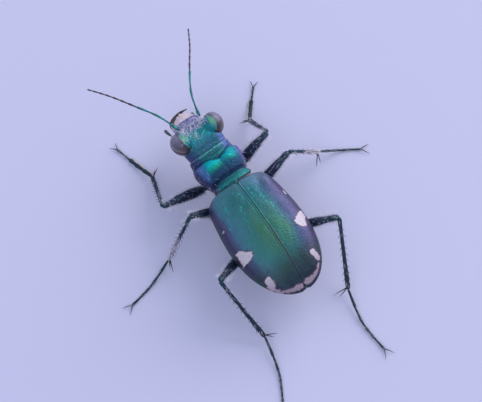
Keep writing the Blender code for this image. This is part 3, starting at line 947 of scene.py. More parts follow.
    def colour(self, point: Vector, arch: float, share: float, side: int) -> Colour:
        """The ground colour: green along the seam, then blue, and violet at the side; a painted
        highlight lies along the front edge and a painted lilac sheen high on the right flank.

        Args:
            point: A point of the wing case, seen from above as on the left side.
            arch: Its share of the arch from seam to rim.
            share: Its share of the length.
            side: 1 for the left wing case, -1 for the right one.

        Returns:
            The colour.
        """
        x, y, _ = point
        shift = 0.06 * noise.noise(Vector((x * 0.9, y * 0.7, 9.0 + side)))
        hue = arch + shift - 0.10 * smooth(0.30, 0.10, share) * max(side, 0)
        colour = layered(self.shades[side](point, 0.0, hue), (
            ("#4a8046", 0.60 * bell(hue, 0.10, 0.15) * bell(share, 0.50, 0.24)),
            ("#3c7c6a", 0.60 * bell(hue, 0.34, 0.14) * bell(share, 0.62, 0.11) * max(side, 0)),
            ("#3a465a", 0.65 * bell(hue, 0.56, 0.13) * bell(share, 0.68, 0.12) * max(side, 0)),
            # painted highlight along the front edge, stronger on the right shoulder
            ("#7498a8", (0.33 - 0.10 * side) * smooth(0.16, 0.02, share)),
            ("#34483f", 0.85 * smooth(0.64, 0.82, share)),
            ("#252b38", 0.80 * smooth(0.78, 0.94, share)),
            ("#2a6a55", 0.6 * bell(arch, 0.97, 0.05) * smooth(0.1, 0.3, share)),
            ("#5c3034", 0.45 * bell(x, 0.05, 0.05) * bell(share, 0.62, 0.18)),
            ("#0e3030", 0.6 * bell(x, 0.0, 0.025)),
        ))
        for pit_x, pit_y, strength in self.spots:
            away = math.hypot(x - pit_x, y - pit_y)
            if away < 0.2 and (side > 0 or pit_x < 1.15):
                colour = lerp(colour, linear("#3cc8b8"), strength * bell(away, 0.0, 0.05))
        return colour

    def build(self, side_name: str, marks: "Marks") -> None:
        """Make one wing case.

        Args:
            side_name: left or right.
            marks: Its cream spots.
        """
        side = SIDES[side_name]
        bm = bmesh.new()
        bmesh.ops.create_grid(bm, x_segments=self.columns, y_segments=self.rows, size=0.5)
        tint = bm.verts.layers.float_color.new("tint")
        mark = bm.verts.layers.float.new("mark")
        for vert in bm.verts:
            across = (vert.co.x + 0.5) ** 1.06
            point, arch, share = self.place(across, vert.co.y + 0.5)
            vert[tint] = self.colour(point, arch, share, side)
            vert[mark] = marks.distance(point)
            vert.co = (side * point.x, point.y, point.z)
        bmesh.ops.recalc_face_normals(bm, faces=bm.faces[:])
        top = max(bm.faces, key=lambda face: face.calc_center_median().z)
        if top.normal.z < 0.0:
            bmesh.ops.reverse_faces(bm, faces=bm.faces[:])
        bmesh.ops.solidify(bm, geom=bm.faces[:], thickness=self.wall)
        make_piece("wing_case_" + side_name, [bm], WING_CASE,
                   ["elytron_" + side_name])


@dataclass(frozen=True)
class Marks:
    """Cream spots of one wing case: a wedge at the side and rounded streaks."""

    wedge: Sequence[tuple[float, float]]
    streaks: Sequence[Sequence[tuple[float, float, float]]]

    def to_wedge(self, spot: Vector) -> float:
        """Distance from a place to the wedge's outline, above 0 inside it."""
        nearest = 9.0
        inside = False
        for start, end in zip(self.wedge, [*self.wedge[1:], self.wedge[0]]):
            first, last = Vector(start), Vector(end)
            run = last - first
            share = min(max((spot - first).dot(run) / run.length_squared, 0.0), 1.0)
            nearest = min(nearest, (spot - first - run * share).length)
            if (first.y > spot.y) != (last.y > spot.y):
                crossing = first.x + (spot.y - first.y) / run.y * run.x
                inside = inside != (spot.x < crossing)
        return nearest if inside else -nearest

    def distance(self, point: Vector) -> float:
        """How far inside the nearest spot a point lies, below 0 outside them all.

        Args:
            point: A point of the wing case, seen from above as on the left side.

        Returns:
            The distance in millimetres.
        """
        spot = Vector((point.x, point.y))
        best = self.to_wedge(spot)
        for streak in self.streaks:
            for (x1, y1, r1), (x2, y2, r2) in zip(streak, streak[1:]):
                first = Vector((x1, y1))
                run = Vector((x2, y2)) - first
                share = min(max((spot - first).dot(run) / run.length_squared, 0.0), 1.0)
                away = (spot - first - run * share).length
                best = max(best, lerp(r1, r2, share) - away)
        return best


MARKS = {
    "left": Marks(
        wedge=((2.22, 2.88), (2.02, 2.90), (1.78, 3.20), (1.52, 3.42), (1.56, 3.62),
               (1.85, 3.76), (2.22, 3.70)),
        streaks=(((1.57, 5.14, 0.19), (1.50, 5.42, 0.17), (1.50, 5.62, 0.06)),
                 ((1.50, 5.62, 0.05), (1.25, 5.93, 0.05), (0.95, 6.10, 0.06),
                  (0.62, 6.20, 0.10), (0.38, 6.23, 0.14), (0.20, 6.25, 0.12)),
                 ((2.06, 1.47, 0.05), (2.06, 1.51, 0.05)))),
    "right": Marks(
        wedge=((2.16, 2.72), (2.00, 2.72), (1.66, 2.96), (1.38, 3.15), (1.38, 3.40),
               (1.60, 3.67), (1.84, 3.66), (2.04, 3.24), (2.16, 3.10)),
        streaks=(((1.32, 5.08, 0.17), (1.40, 5.40, 0.16)),
                 ((1.29, 5.70, 0.05), (1.02, 5.96, 0.07), (0.76, 6.10, 0.08),
                  (0.45, 6.18, 0.13), (0.22, 6.20, 0.15), (0.10, 6.20, 0.10)),
                 ((1.95, 1.28, 0.05), (1.97, 1.46, 0.05)))),
}


# Prothorax and head


@dataclass
class Shield:
    """The prothorax: a wrinkled barrel with a groove near each end of its disc."""

    rows: Sequence[Sequence[float]] = (
        (-2.86, 0.02, 2.72, 2.68, 0.0), (-2.88, 0.70, 3.10, 2.20, 0.10),
        (-3.02, 1.04, 3.34, 2.03, 0.22), (-3.11, 1.19, 3.43, 1.96, 0.26),
        (-3.09, 1.25, 3.50, 1.90, 0.25), (-2.96, 1.27, 3.55, 1.81, 0.22),
        (-2.76, 1.30, 3.56, 1.68, 0.16), (-2.52, 1.41, 3.68, 1.60, 0.11),
        (-2.30, 1.46, 3.76, 1.56, 0.10), (-2.05, 1.45, 3.80, 1.55, 0.10),
        (-1.78, 1.39, 3.79, 1.55, 0.10), (-1.50, 1.31, 3.73, 1.56, 0.11),
        (-1.25, 1.21, 3.62, 1.60, 0.14), (-1.06, 1.14, 3.50, 1.66, 0.18),
        (-0.94, 1.17, 3.52, 1.72, 0.22), (-0.84, 1.19, 3.51, 1.80, 0.25),
        (-0.76, 1.14, 3.46, 1.90, 0.25), (-0.76, 1.02, 3.36, 2.05, 0.22),
        (-0.86, 0.60, 3.05, 2.30, 0.10), (-0.90, 0.02, 2.70, 2.66, 0.0))
    squareness: float = 2.4
    groove_depth: float = 0.14

    def front_groove(self, x: float) -> float:
        """Place of the front groove, which bends back in the middle."""
        return -2.62 + 0.36 * bell(x, 0.0, 0.55)

    def relief(self, point: Vector, upward: float) -> float:
        """Grooves, bulges and wrinkles of the shield."""
        x, y, z = point
        above = smooth(0.0, 0.35, upward)
        lift = -self.groove_depth * bell(y, self.front_groove(x), 0.10)
        lift -= 0.07 * bell(y, -1.13, 0.08)
        lift -= 0.022 * bell(x, 0.0, 0.05) * smooth(-2.4, -2.2, y) * smooth(-1.0, -1.2, y)
        lift += 0.075 * bell(abs(x), 0.52, 0.34) * bell(y, -2.05, 0.30)
        lift += 0.025 * bell(abs(x), 0.80, 0.25) * bell(y, -1.5, 0.22)
        lift += 0.035 * bell(y, -3.07, 0.045)
        lift -= 0.030 * bell(y, -2.92, 0.06)
        lift += 0.020 * bell(y, -0.82, 0.05)
        folds = noise.noise(Vector((x * 6.0, y * 15.0, z * 1.5)))
        rough = bell(abs(x), 0.65, 0.30) * bell(y, -1.72, 0.24) + 0.8 * smooth(-1.02, -0.92, y)
        lift += folds * (0.004 + 0.020 * rough) * smooth(-0.72, -0.80, y)
        seam = -0.035 * bell(z, 2.52 - 0.08 * (y + 2.0), 0.045)
        return lift * above + seam + 0.006 * folds * (1.0 - above)

    def colour(self, point: Vector, turn: float, share: float) -> Colour:
        """Turquoise bulges between teal lobes, violet at the sides, dark below; the bulges' turquoise
        is partly a painted highlight, the grooves carry painted shade, and the right side is painted
        as lit from the right, with a lilac sheen and a darker bulge.
        """
        x, y, z = point
        rise = math.sin(turn)
        cloud = 0.12 * noise.noise(Vector((x * 2.0, y * 2.5, 4.0)))
        front = smooth(0.06, -0.06, y - 0.1 - self.front_groove(x))
        groove = y - 0.1 - self.front_groove(x)
        dome = bell(abs(x), 0.52, 0.36) ** 0.6 * smooth(-2.62, -2.35, y)
        # the beetle's right side: painted light and shade from the lamp on that side
        right = smooth(0.2, -0.2, x)
        flank = smooth(0.88 + 0.12 * right, 1.12 + 0.14 * right, abs(x) + cloud)
        return layered("#1c5a76", (
            # turquoise bulges, partly a painted highlight
            ("#00e6de", dome * smooth(-1.70, -1.95, y + 0.15 * cloud)),
            # painted shade: the right bulge darker
            ("#088088", 0.65 * right * dome * smooth(-1.70, -1.95, y)),
            ("#1cc88c", (0.9 - 0.5 * right) * dome * bell(y, -1.76, 0.15)),
            ("#2a5066", 0.9 * smooth(-1.62, -1.38, y)),
            ("#34988c", 0.9 * smooth(-1.0, -0.88, y)),
            ("#36807a", 0.9 * front),
            ("#3cc4b0", 0.7 * front * bell(y, -2.79, 0.05)),
            # front corners, the right one painted lighter as light from the right
            ("#3c4078", 0.85 * front * smooth(0.60, 0.95, x)),
            ("#6478b4", 0.85 * front * smooth(0.45, 0.90, -x)),
            # painted shade in the front and rear grooves
            ("#0e1c48", 0.85 * bell(groove, 0.02, 0.06)),
            ("#101848", 0.85 * bell(y, -1.13, 0.06)),
            # violet flanks, lighter and lilac on the right as a painted sheen
            ("#5488b8", flank * (1.0 - front) * (1.0 - right) * smooth(-1.2, -1.5, y)),
            ("#8884cc", flank * (1.0 - front) * right * smooth(-1.0, -1.3, y)),
            # lower sides, lighter and lilac on the right as a painted sheen
            ("#464674", 0.9 * smooth(0.62, 0.30, rise + cloud) * (1.0 - right)),
            ("#685e9c", 0.8 * smooth(0.50, 0.20, rise + cloud) * right),
            ("#f0eaf4", 0.95 * bell(share, 0.216, 0.010) * smooth(0.1, 0.5, rise)),
            ("#d4cddc", 0.8 * bell(share, 0.842, 0.014) * smooth(0.1, 0.5, rise)),
            ("#10202c", smooth(0.02, -0.25, rise)),
        ))

    def build(self) -> Hull:
        """Make the shield, and return its form for the hair."""
        form = Hull(self.colour, rows=self.rows, squareness=self.squareness,
                    relief=self.relief)
        make_piece("prothorax_shield", [form.skin(176, 150)], SHIELD,
                   ["prothorax"], SHIELD_POSE)
        return form


@dataclass
class Capsule(Hull):
    """The head capsule, whose brows rise over the inner sides of the eyes."""

    eye_centre: Vector = None
    eye_radii: Vector = None
    brow_inner: float = 0.33
    brow_edge: float = 1.10
    brow_front_edge: float = 0.88
    brow_cover: float = 0.035

    def place(self, turn: float, share: float) -> Vector:
        """The point of the skin, raised to hug the eye as far as the brow's edge."""
        point = super().place(turn, share)
        across = (abs(point.x) - self.eye_centre.x) / self.eye_radii.x
        along = (point.y - self.eye_centre.y) / self.eye_radii.y
        inside = 1.0 - min(across * across, 1.0) * 0.75 - along * along
        if inside > 0.0 and math.sin(turn) > 0.0:
            hood = self.eye_centre.z + self.eye_radii.z * math.sqrt(inside) + self.brow_cover
            edge = lerp(self.brow_edge, self.brow_front_edge, smooth(-4.35, -4.85, point.y))
            edge -= 0.16 * smooth(-4.00, -3.68, point.y)
            share_up = (smooth(self.brow_inner, 0.70, abs(point.x))
                        * smooth(edge + 0.06, edge, abs(point.x))
                        * smooth(0.0, 0.35, inside) * smooth(0.05, 0.30, math.sin(turn)))
            point.z = lerp(point.z, max(point.z, hood), share_up)
        return point


@dataclass
class Head:
    """The head: capsule, eyes, lip, jaws, mouth parts, palps and feelers."""

    rows: Sequence[Sequence[float]] = (
        (-2.90, 0.02, 2.72, 2.68, 0.0), (-2.94, 0.98, 3.04, 2.10, 0.12),
        (-3.15, 1.16, 3.16, 2.00, 0.14), (-3.36, 1.20, 3.24, 1.95, 0.12),
        (-3.56, 1.22, 3.32, 1.90, 0.09), (-3.80, 1.22, 3.37, 1.86, 0.05),
        (-4.05, 1.21, 3.39, 1.85, 0.02), (-4.30, 1.19, 3.38, 1.85, 0.0),
        (-4.55, 1.11, 3.34, 1.86, 0.0), (-4.78, 0.99, 3.28, 1.89, 0.0),
        (-4.96, 0.89, 3.21, 1.93, 0.0), (-5.12, 0.86, 3.13, 1.98, 0.0),
        (-5.26, 0.82, 3.06, 2.04, 0.0), (-5.37, 0.76, 3.00, 2.12, 0.0),
        (-5.42, 0.66, 2.93, 2.22, 0.0), (-5.43, 0.40, 2.80, 2.36, 0.0),
        (-5.42, 0.02, 2.62, 2.58, 0.0))
    squareness: float = 2.5
    eye_centre: tuple[float, float, float] = (1.07, -4.26, 3.03)
    eye_radii: tuple[float, float, float] = (0.58, 0.68, 0.62)
    eye_lean: float = math.radians(14)
    feelers: dict[str, Sequence[Sequence[float]]] = field(default_factory=lambda: {
        "left": ((0.80, -5.06, 3.00), (1.30, -6.24, 3.16), (2.08, -7.62, 3.02),
                 (2.85, -8.97, 2.80), (3.58, -10.15, 2.45)),
        "right": ((-0.62, -5.12, 2.96), (-0.90, -6.38, 3.36), (-1.72, -7.86, 3.30),
                  (-2.50, -9.08, 2.95), (-3.18, -10.33, 2.45))})
    segment_lengths: Sequence[float] = (0.46, 0.18, 1.38, 1.22, 0.62, 0.60, 0.58, 0.54,
                                        0.50, 0.46, 0.44)
    stem_segments: int = 4

    def relief(self, point: Vector, upward: float) -> float:
        """Brow ridges, sunken brow, cross groove before the lip, and the temples."""
        x, y, z = point
        above = smooth(0.0, 0.4, upward)
        lift = -0.075 * bell(x, 0.0, 0.42) * bell(y, -4.75, 0.40)
        lift -= 0.020 * bell(x, 0.0, 0.30) * bell(y, -4.05, 0.35)
        lift -= 0.050 * bell(y, -5.02 + 0.10 * bell(x, 0.0, 0.4), 0.05)
        lift -= 0.018 * bell(y, -3.42, 0.07)
        lift -= 0.06 * bell(abs(x), 0.70, 0.13) * bell(y, -5.12, 0.14)
        streak = noise.noise(Vector((x * 11.0, y * 2.2, z * 4.0)))
        lift += 0.012 * streak * smooth(-5.1, -4.9, y)
        return lift * above - 0.02 * bell(z, 2.3, 0.05)

    def colour(self, point: Vector, turn: float, share: float) -> Colour:
        """Teal crown, yellow-green by the eyes, violet-blue brow, dark below; a painted highlight
        runs along the brows' edge with painted shade just beyond it by the eyes, and the right
        temple is painted lighter than the left as light from the right.
        """
        x, y, z = point
        rise = math.sin(turn)
        edge = abs(x) - lerp(1.06, 0.86, smooth(-4.35, -4.85, y)) + 0.16 * smooth(-4.00, -3.68, y)
        near_eye = smooth(-3.55, -3.75, y) * smooth(-5.0, -4.8, y)
        return layered("#208e98", (
            ("#14a898", 0.8 * bell(abs(x), 0.45, 0.3) * bell(y, -4.10, 0.40)),
            ("#2c6474", 0.85 * smooth(-3.90, -3.45, y)),
            ("#7cc878", 0.95 * bell(abs(x), 0.92, 0.11) * bell(y, -4.22, 0.26)),
            ("#7c7ca6", 0.80 * smooth(-4.35, -4.68, y) * smooth(0.80, 0.45, abs(x))),
            ("#8a80b8", 0.8 * smooth(-4.95, -5.10, y)),
            # temples: the right one painted lighter than the left, as light from the right
            ("#3a4a74", 0.9 * smooth(0.62, 1.05, x) * smooth(-3.72, -3.45, y)),
            ("#6478b4", 0.9 * smooth(0.62, 0.95, -x) * smooth(-3.80, -3.50, y)),
            # painted highlight along the brow's edge, and painted shade beyond it under the brow
            ("#b8d8b0", 0.5 * bell(edge, 0.0, 0.03) * near_eye),
            ("#2a1c30", 0.9 * smooth(0.05, 0.09, edge) * near_eye),
            ("#5258a8", 0.7 * smooth(0.50, 0.20, rise) * smooth(-3.5, -3.3, y)),
            ("#12232c", smooth(0.10, -0.25, rise)),
        ))

    def eye_colour(self, point: Vector, turn: float, share: float) -> Colour:
        """Grey-brown, lighter above, maroon at the back, with a pale line low round it as a painted
        highlight, and painted shade on the inner side under the brow.
        """
        _, y, z = point
        centre = self.eye_centre
        up = (z - centre[2]) / self.eye_radii[2]
        ahead = (centre[1] - y) / self.eye_radii[1]
        return layered("#68667c", (
            ("#8c88a0", 0.8 * smooth(0.3, 1.0, up * 0.7 + ahead * 0.6)),
            ("#38242e", 0.95 * smooth(-0.15, 0.65, -ahead)),
            ("#5a4c50", 0.7 * bell(up, 0.52, 0.12)),
            # painted highlight: the pale line round the eye
            ("#b0a29c", 0.7 * bell(up, 0.36, 0.06)),
            ("#3a3034", 0.85 * smooth(0.28, 0.18, up)),
            # painted shade on the inner side under the brow
            ("#281c24", 0.8 * smooth(0.30, 0.10, (abs(point.x) - 1.0) * 1.4)),
            ("#1e181e", 0.6 * smooth(-0.3, -0.9, up)),
        ))

    def eye(self, side_name: str) -> None:
        """Make one eye."""
        side = SIDES[side_name]
        centre = Vector(self.eye_centre)
        lean = Matrix.Rotation(self.eye_lean, 3, "Z")
        radii = Vector(self.eye_radii)
        if side < 0:
            centre.x = -centre.x
            lean = Matrix.Rotation(-self.eye_lean, 3, "Z")
        eye = Globe(self.eye_colour, centre=centre, radii=radii, lean=lean)
        make_piece("eye_lens_" + side_name, [eye.skin(72, 48)], EYE_SKIN,
                   ["eye_" + side_name], HEAD_POSE)

    def lip(self) -> None:
        """Make the ivory upper lip: a bowed plate with three blunt teeth in front."""
        bm = bmesh.new()
        bmesh.ops.create_grid(bm, x_segments=48, y_segments=24, size=0.5)
        tint = bm.verts.layers.float_color.new("tint")
        for vert in bm.verts:
            reach, along = vert.co.x * 2.0, vert.co.y + 0.5
            half_width = 0.61 * (1.0 - 0.16 * along * along)
            front = 1.0 - 0.30 * reach * reach
            teeth = 0.10 * bell(reach, 0.0, 0.15) + 0.05 * bell(abs(reach), 0.42, 0.14)
            y = -5.40 - (0.52 * front + teeth) * along
            z = 2.97 - 0.30 * along - 0.13 * reach * reach
            z += 0.03 * bell(reach, 0.0, 0.30) * along
            vert.co = (half_width * reach, y, z)
            edge = smooth(0.82, 1.0, along)
            vert[tint] = layered("#e2d4d0", (("#7d5a48", 0.5 * edge),
                                             ("#a88d96", 0.4 * smooth(0.15, 0.0, along))))
        bmesh.ops.recalc_face_normals(bm, faces=bm.faces[:])
        if bm.faces[:][0].normal.z < 0.0:
            bmesh.ops.reverse_faces(bm, faces=bm.faces[:])
        bmesh.ops.solidify(bm, geom=bm.faces[:], thickness=0.10)
        make_piece("upper_lip", [bm], LIP_SKIN, ["labrum"], HEAD_POSE)

    def jaw(self, side_name: str) -> None:
        """Make one sickle jaw with its teeth; the left one closes in front of the right."""
        side = SIDES[side_name]
        if side > 0:
            points = ((0.40, -5.08, 2.10), (0.57, -5.58, 2.08), (0.56, -5.92, 2.07),
                      (0.26, -6.16, 2.07), (-0.22, -6.27, 2.08), (-0.70, -6.22, 2.12))
        else:
            points = ((0.40, -5.08, 2.04), (0.57, -5.56, 1.98), (0.54, -5.86, 1.95),
                      (0.30, -6.02, 1.93), (-0.10, -6.08, 1.92), (-0.42, -6.00, 1.95))
        path = Route([(side * x, y, z) for x, y, z in points])
        paint = banded((0.0, "#9a7e70"), (0.32, "#cdbcb4"), (0.44, "#3b241b"), (1.0, "#120c0c"))
        blade = Limb(paint, path=path, flat=0.72,
                     profile=((0.0, 0.20), (0.2, 0.17), (0.45, 0.12), (0.75, 0.085), (1.0, 0.03)))
        skins = [blade.skin(28, 56)]
        for share, length in ((0.34, 0.34), (0.50, 0.28), (0.66, 0.20)):
            start = path.at(share)
            inward = path.along(share).cross(UP).normalized() * side
            if inward.y < 0.0:
                inward.negate()
            tip = start + (inward + path.along(share) * 0.4).normalized() * length
            tooth = Limb(plain("#1a1010"), path=Route([tuple(start), tuple(lerp(start, tip, 0.5)),
                                                      tuple(tip)]),
                         profile=((0.0, 0.09), (1.0, 0.015)), flat=0.7)
            skins.append(tooth.skin(12, 14))
        make_piece("jaw_" + side_name, skins, JAW_SKIN, ["mandible_" + side_name],
                   HEAD_POSE)

    def mouth_parts(self) -> None:
        """Make the dark block under the head that the jaws and palps grow from."""
        block = Hull(banded((0.0, "#1c3234"), (1.0, "#20282e")), squareness=2.4, rows=(
            (-4.40, 0.02, 1.92, 1.90, 0.0), (-4.44, 0.34, 2.00, 1.80, 0.0),
            (-4.70, 0.50, 2.06, 1.66, 0.0), (-5.00, 0.54, 2.20, 1.56, 0.0),
            (-5.25, 0.52, 2.36, 1.56, 0.0), (-5.45, 0.44, 2.44, 1.64, 0.0),
            (-5.58, 0.28, 2.40, 1.76, 0.0), (-5.62, 0.02, 2.10, 2.06, 0.0)))
        make_piece("mouth_parts", [block.skin(48, 40)], JAW_SKIN, pose=HEAD_POSE)

    def palps(self, side_name: str) -> None:
        """Make the outer and inner palp of one side, each of a few joints."""
        side = SIDES[side_name]
        routes = (((0.40, -5.02, 1.66), (0.68, -5.36, 1.48), (0.84, -5.74, 1.48),
                   (0.94, -6.12, 1.58)),
                  ((0.16, -5.10, 1.72), (0.30, -5.40, 1.50), (0.38, -5.66, 1.42),
                   (0.36, -5.90, 1.48)))
        skins = []
        for route, bounds in zip(routes, ((0.0, 0.30, 0.62, 1.0), (0.0, 0.25, 0.68, 1.0))):
            path = Route([(side * x, y, z) for x, y, z in route])
            for joint, (start, end) in enumerate(zip(bounds, bounds[1:])):
                part = Route([tuple(path.at(lerp(start, end, step / 4))) for step in range(5)])
                code = "#2a4a4c" if joint == 2 else "#c3ac8e"
                limb = Limb(plain(code), path=part,
                            profile=((0.0, 0.055), (0.75, 0.095), (1.0, 0.08)))
                skins.append(limb.skin(16, 20))
        make_piece("palps_" + side_name, skins, LIP_SKIN, ["palp_" + side_name],
                   HEAD_POSE)

    def feeler(self, side_name: str) -> None:
        """Make one feeler: four green stem segments and seven dull brown lash ones."""
        path = Route(self.feelers[side_name])
        total = sum(self.segment_lengths)
        stem, lash = [], []
        start = 0.0
        for index, length in enumerate(self.segment_lengths):
            end = start + length / total
            part = Route([tuple(path.at(lerp(max(start - 0.003, 0.0), end, step / 6)))
                         for step in range(7)])
            thin = lerp(0.072, 0.046, index / 10.0)
            if index == 0:
                profile = ((0.0, 0.070), (0.35, 0.085), (0.8, 0.095), (1.0, 0.075))
            elif index == 1:
                profile = ((0.0, 0.055), (0.7, 0.075), (1.0, 0.065))
            else:
                profile = ((0.0, thin * 0.72), (0.12, thin * 0.66), (0.85, thin),
                           (1.0, thin * 0.9))
            if index < self.stem_segments:
                paint = banded((0.0, "#1d5a58"), (0.5, "#2a9088"), (0.8, "#2a8070"), (1.0, "#5a7a4c"))
                stem.append(Limb(paint, path=part, profile=profile, round_off=0.7).skin(16, 34))
            else:
                paint = banded((0.0, "#604a4a"), (0.2, "#4c3c40"), (1.0, "#40343a"))
                lash.append(Limb(paint, path=part, profile=profile, round_off=0.5).skin(12, 26))
            start = end
        make_piece("feeler_stem_" + side_name, stem, LEG_SKIN,
                   ["feeler_base_" + side_name])
        make_piece("feeler_whip_" + side_name, lash, LASH_SKIN,
                   ["feeler_lash_" + side_name])

    def build(self) -> Hull:
        """Make every piece of the head, and return the capsule's form for the hair."""
        form = Capsule(self.colour, rows=self.rows, squareness=self.squareness,
                       relief=self.relief, eye_centre=Vector(self.eye_centre),
                       eye_radii=Vector(self.eye_radii))
        make_piece("head_capsule", [form.skin(168, 140)], HEAD_SKIN, ["head"],
                   HEAD_POSE)
        self.lip()
        self.mouth_parts()
        for side_name in SIDES:
            self.eye(side_name)
            self.jaw(side_name)
            self.palps(side_name)
            self.feeler(side_name)
        return form


# Trunk


@dataclass
class Trunk:
    """The parts under the wing cases: breast plates, scutellum and belly rings."""

    cases: WingCases
    belly_z: float = 1.62
    split_y: float = 2.0
    end_y: float = 6.2
    inset: float = 0.50
    rings: int = 6

    def half_width(self, y: float) -> float:
        """Half width of the trunk below the wing cases' rim."""
        share = (y - self.cases.start_y) / self.cases.length
        return max(self.cases.width_at(min(max(share, 0.0), 1.0)) - self.inset, 0.25)

    def underside(self, y: float) -> float:
        """Height of the belly, which rises towards the tip."""
        share = (y - self.cases.start_y) / self.cases.length
        rise = max(share - 0.5, 0.0) / 0.5
        return lerp(self.belly_z, self.cases.rim_at(share) - 0.34, rise ** 2.2)

    def colour(self, point: Vector, turn: float, share: float) -> Colour:
        """Blue-green below, coppery violet towards the sides."""
        x, y, z = point
        return layered("#12424a", (
            ("#1d6470", 0.6 * bell(x, 0.0, 0.5)),
            ("#4a3a68", 0.7 * smooth(0.9, 1.6, abs(x))),
            ("#7a4a40", 0.4 * smooth(2.1, 2.5, z) * smooth(0.9, 1.6, abs(x))),
            ("#1c1a30", 0.7 * smooth(4.6, 5.8, y)),
        ))

    def breast_relief(self, point: Vector, upward: float) -> float:
        """Seams between the breast plates, and hollows for the hips."""
        x, y, _ = point
        lift = -0.05 * bell(y, 0.62 + 0.10 * abs(x), 0.045) * smooth(0.2, 0.6, abs(x))
        lift -= 0.05 * bell(abs(x), 1.12 + 0.06 * y, 0.045) * smooth(0.5, 0.8, y)
        lift -= 0.035 * bell(x, 0.0, 0.035)
        lift += 0.05 * bell(abs(x), 0.55, 0.3) * bell(y, 1.2, 0.4)
        return lift * smooth(0.3, -0.1, upward)

    def build(self) -> list[Hull]:
        """Make the breast, scutellum and belly, and return their forms for the hair."""
        rows = [(-0.66, 0.02, 2.6, 2.56, 0.0)]
        for y, share in ((-0.68, 0.55), (-0.60, 0.80), (-0.40, 0.93), (-0.10, 1.0), (0.25, 1.0),
                         (0.60, 1.0), (0.95, 1.0), (1.30, 1.0), (1.65, 1.0), (1.95, 0.98),
                         (2.00, 0.9)):
            middle = 2.35
            rows.append((y, self.half_width(y) * share, lerp(middle, 3.0, share),
                         lerp(middle, self.underside(y), share), 0.0))
        rows.append((1.98, 0.02, 2.4, 2.36, 0.0))
        breast = Hull(self.colour, rows=rows, relief=self.breast_relief, squareness=2.5)
        scutellum = Hull(plain("#3a7a74"), squareness=2.2, rows=(
            (-0.66, 0.02, 3.40, 3.36, 0.0), (-0.64, 0.12, 3.54, 3.20, 0.0),
            (-0.56, 0.15, 3.60, 3.20, 0.0), (-0.46, 0.12, 3.64, 3.25, 0.0),
            (-0.37, 0.07, 3.66, 3.30, 0.0), (-0.29, 0.03, 3.68, 3.35, 0.0),
            (-0.24, 0.01, 3.66, 3.56, 0.0)))
        make_piece("breast_plates", [breast.skin(120, 100), scutellum.skin(40, 40)],
                   BELLY_SKIN, ["thorax"])
        waist = Hull(plain("#b8a498"), squareness=2.3, rows=(
            (-0.98, 0.02, 2.80, 2.76, 0.0), (-0.96, 0.90, 3.10, 2.40, 0.10),
            (-0.88, 1.04, 3.28, 2.30, 0.14), (-0.72, 1.07, 3.33, 2.28, 0.12),
            (-0.56, 1.05, 3.36, 2.30, 0.08), (-0.48, 0.90, 3.30, 2.40, 0.04),
            (-0.46, 0.02, 2.80, 2.76, 0.0)))
        make_piece("waist_skin", [waist.skin(80, 40)], PAD_SKIN)
        forms = [breast]
        skins = []
        first = self.split_y + 0.02
        for ring in range(self.rings):
            start = lerp(first, self.end_y, ring / self.rings)
            end = lerp(first, self.end_y, (ring + 1) / self.rings) + 0.06
            steps = []
            tail = ring == self.rings - 1
            for share, size in ((0.0, 0.05), (0.0, 0.55), (0.04, 0.93), (0.2, 0.965),
                                (0.5, 0.985), (0.8, 1.0), (0.94, 0.985), (1.0, 0.9),
                                (0.99, 0.5), (0.97, 0.05)):
                y = lerp(start, end, share)
                if tail:
                    size *= math.sqrt(max(1.0 - max(share - 0.1, 0.0) ** 2 * 0.9, 0.05))
                middle = lerp(self.underside(y), 2.9, 0.55)
                steps.append((y, self.half_width(y) * size,
                              lerp(middle, min(2.95, self.cases.top_at(
                                  (y + 0.5) / 7.0) - 0.35), size),
                              lerp(middle, self.underside(y), size), 0.0))
            form = Hull(self.colour, rows=steps, squareness=2.4)
            forms.append(form)
            skins.append(form.skin(96, 40))
        make_piece("belly_rings", skins, BELLY_SKIN, ["abdomen"])
        return forms


# Legs


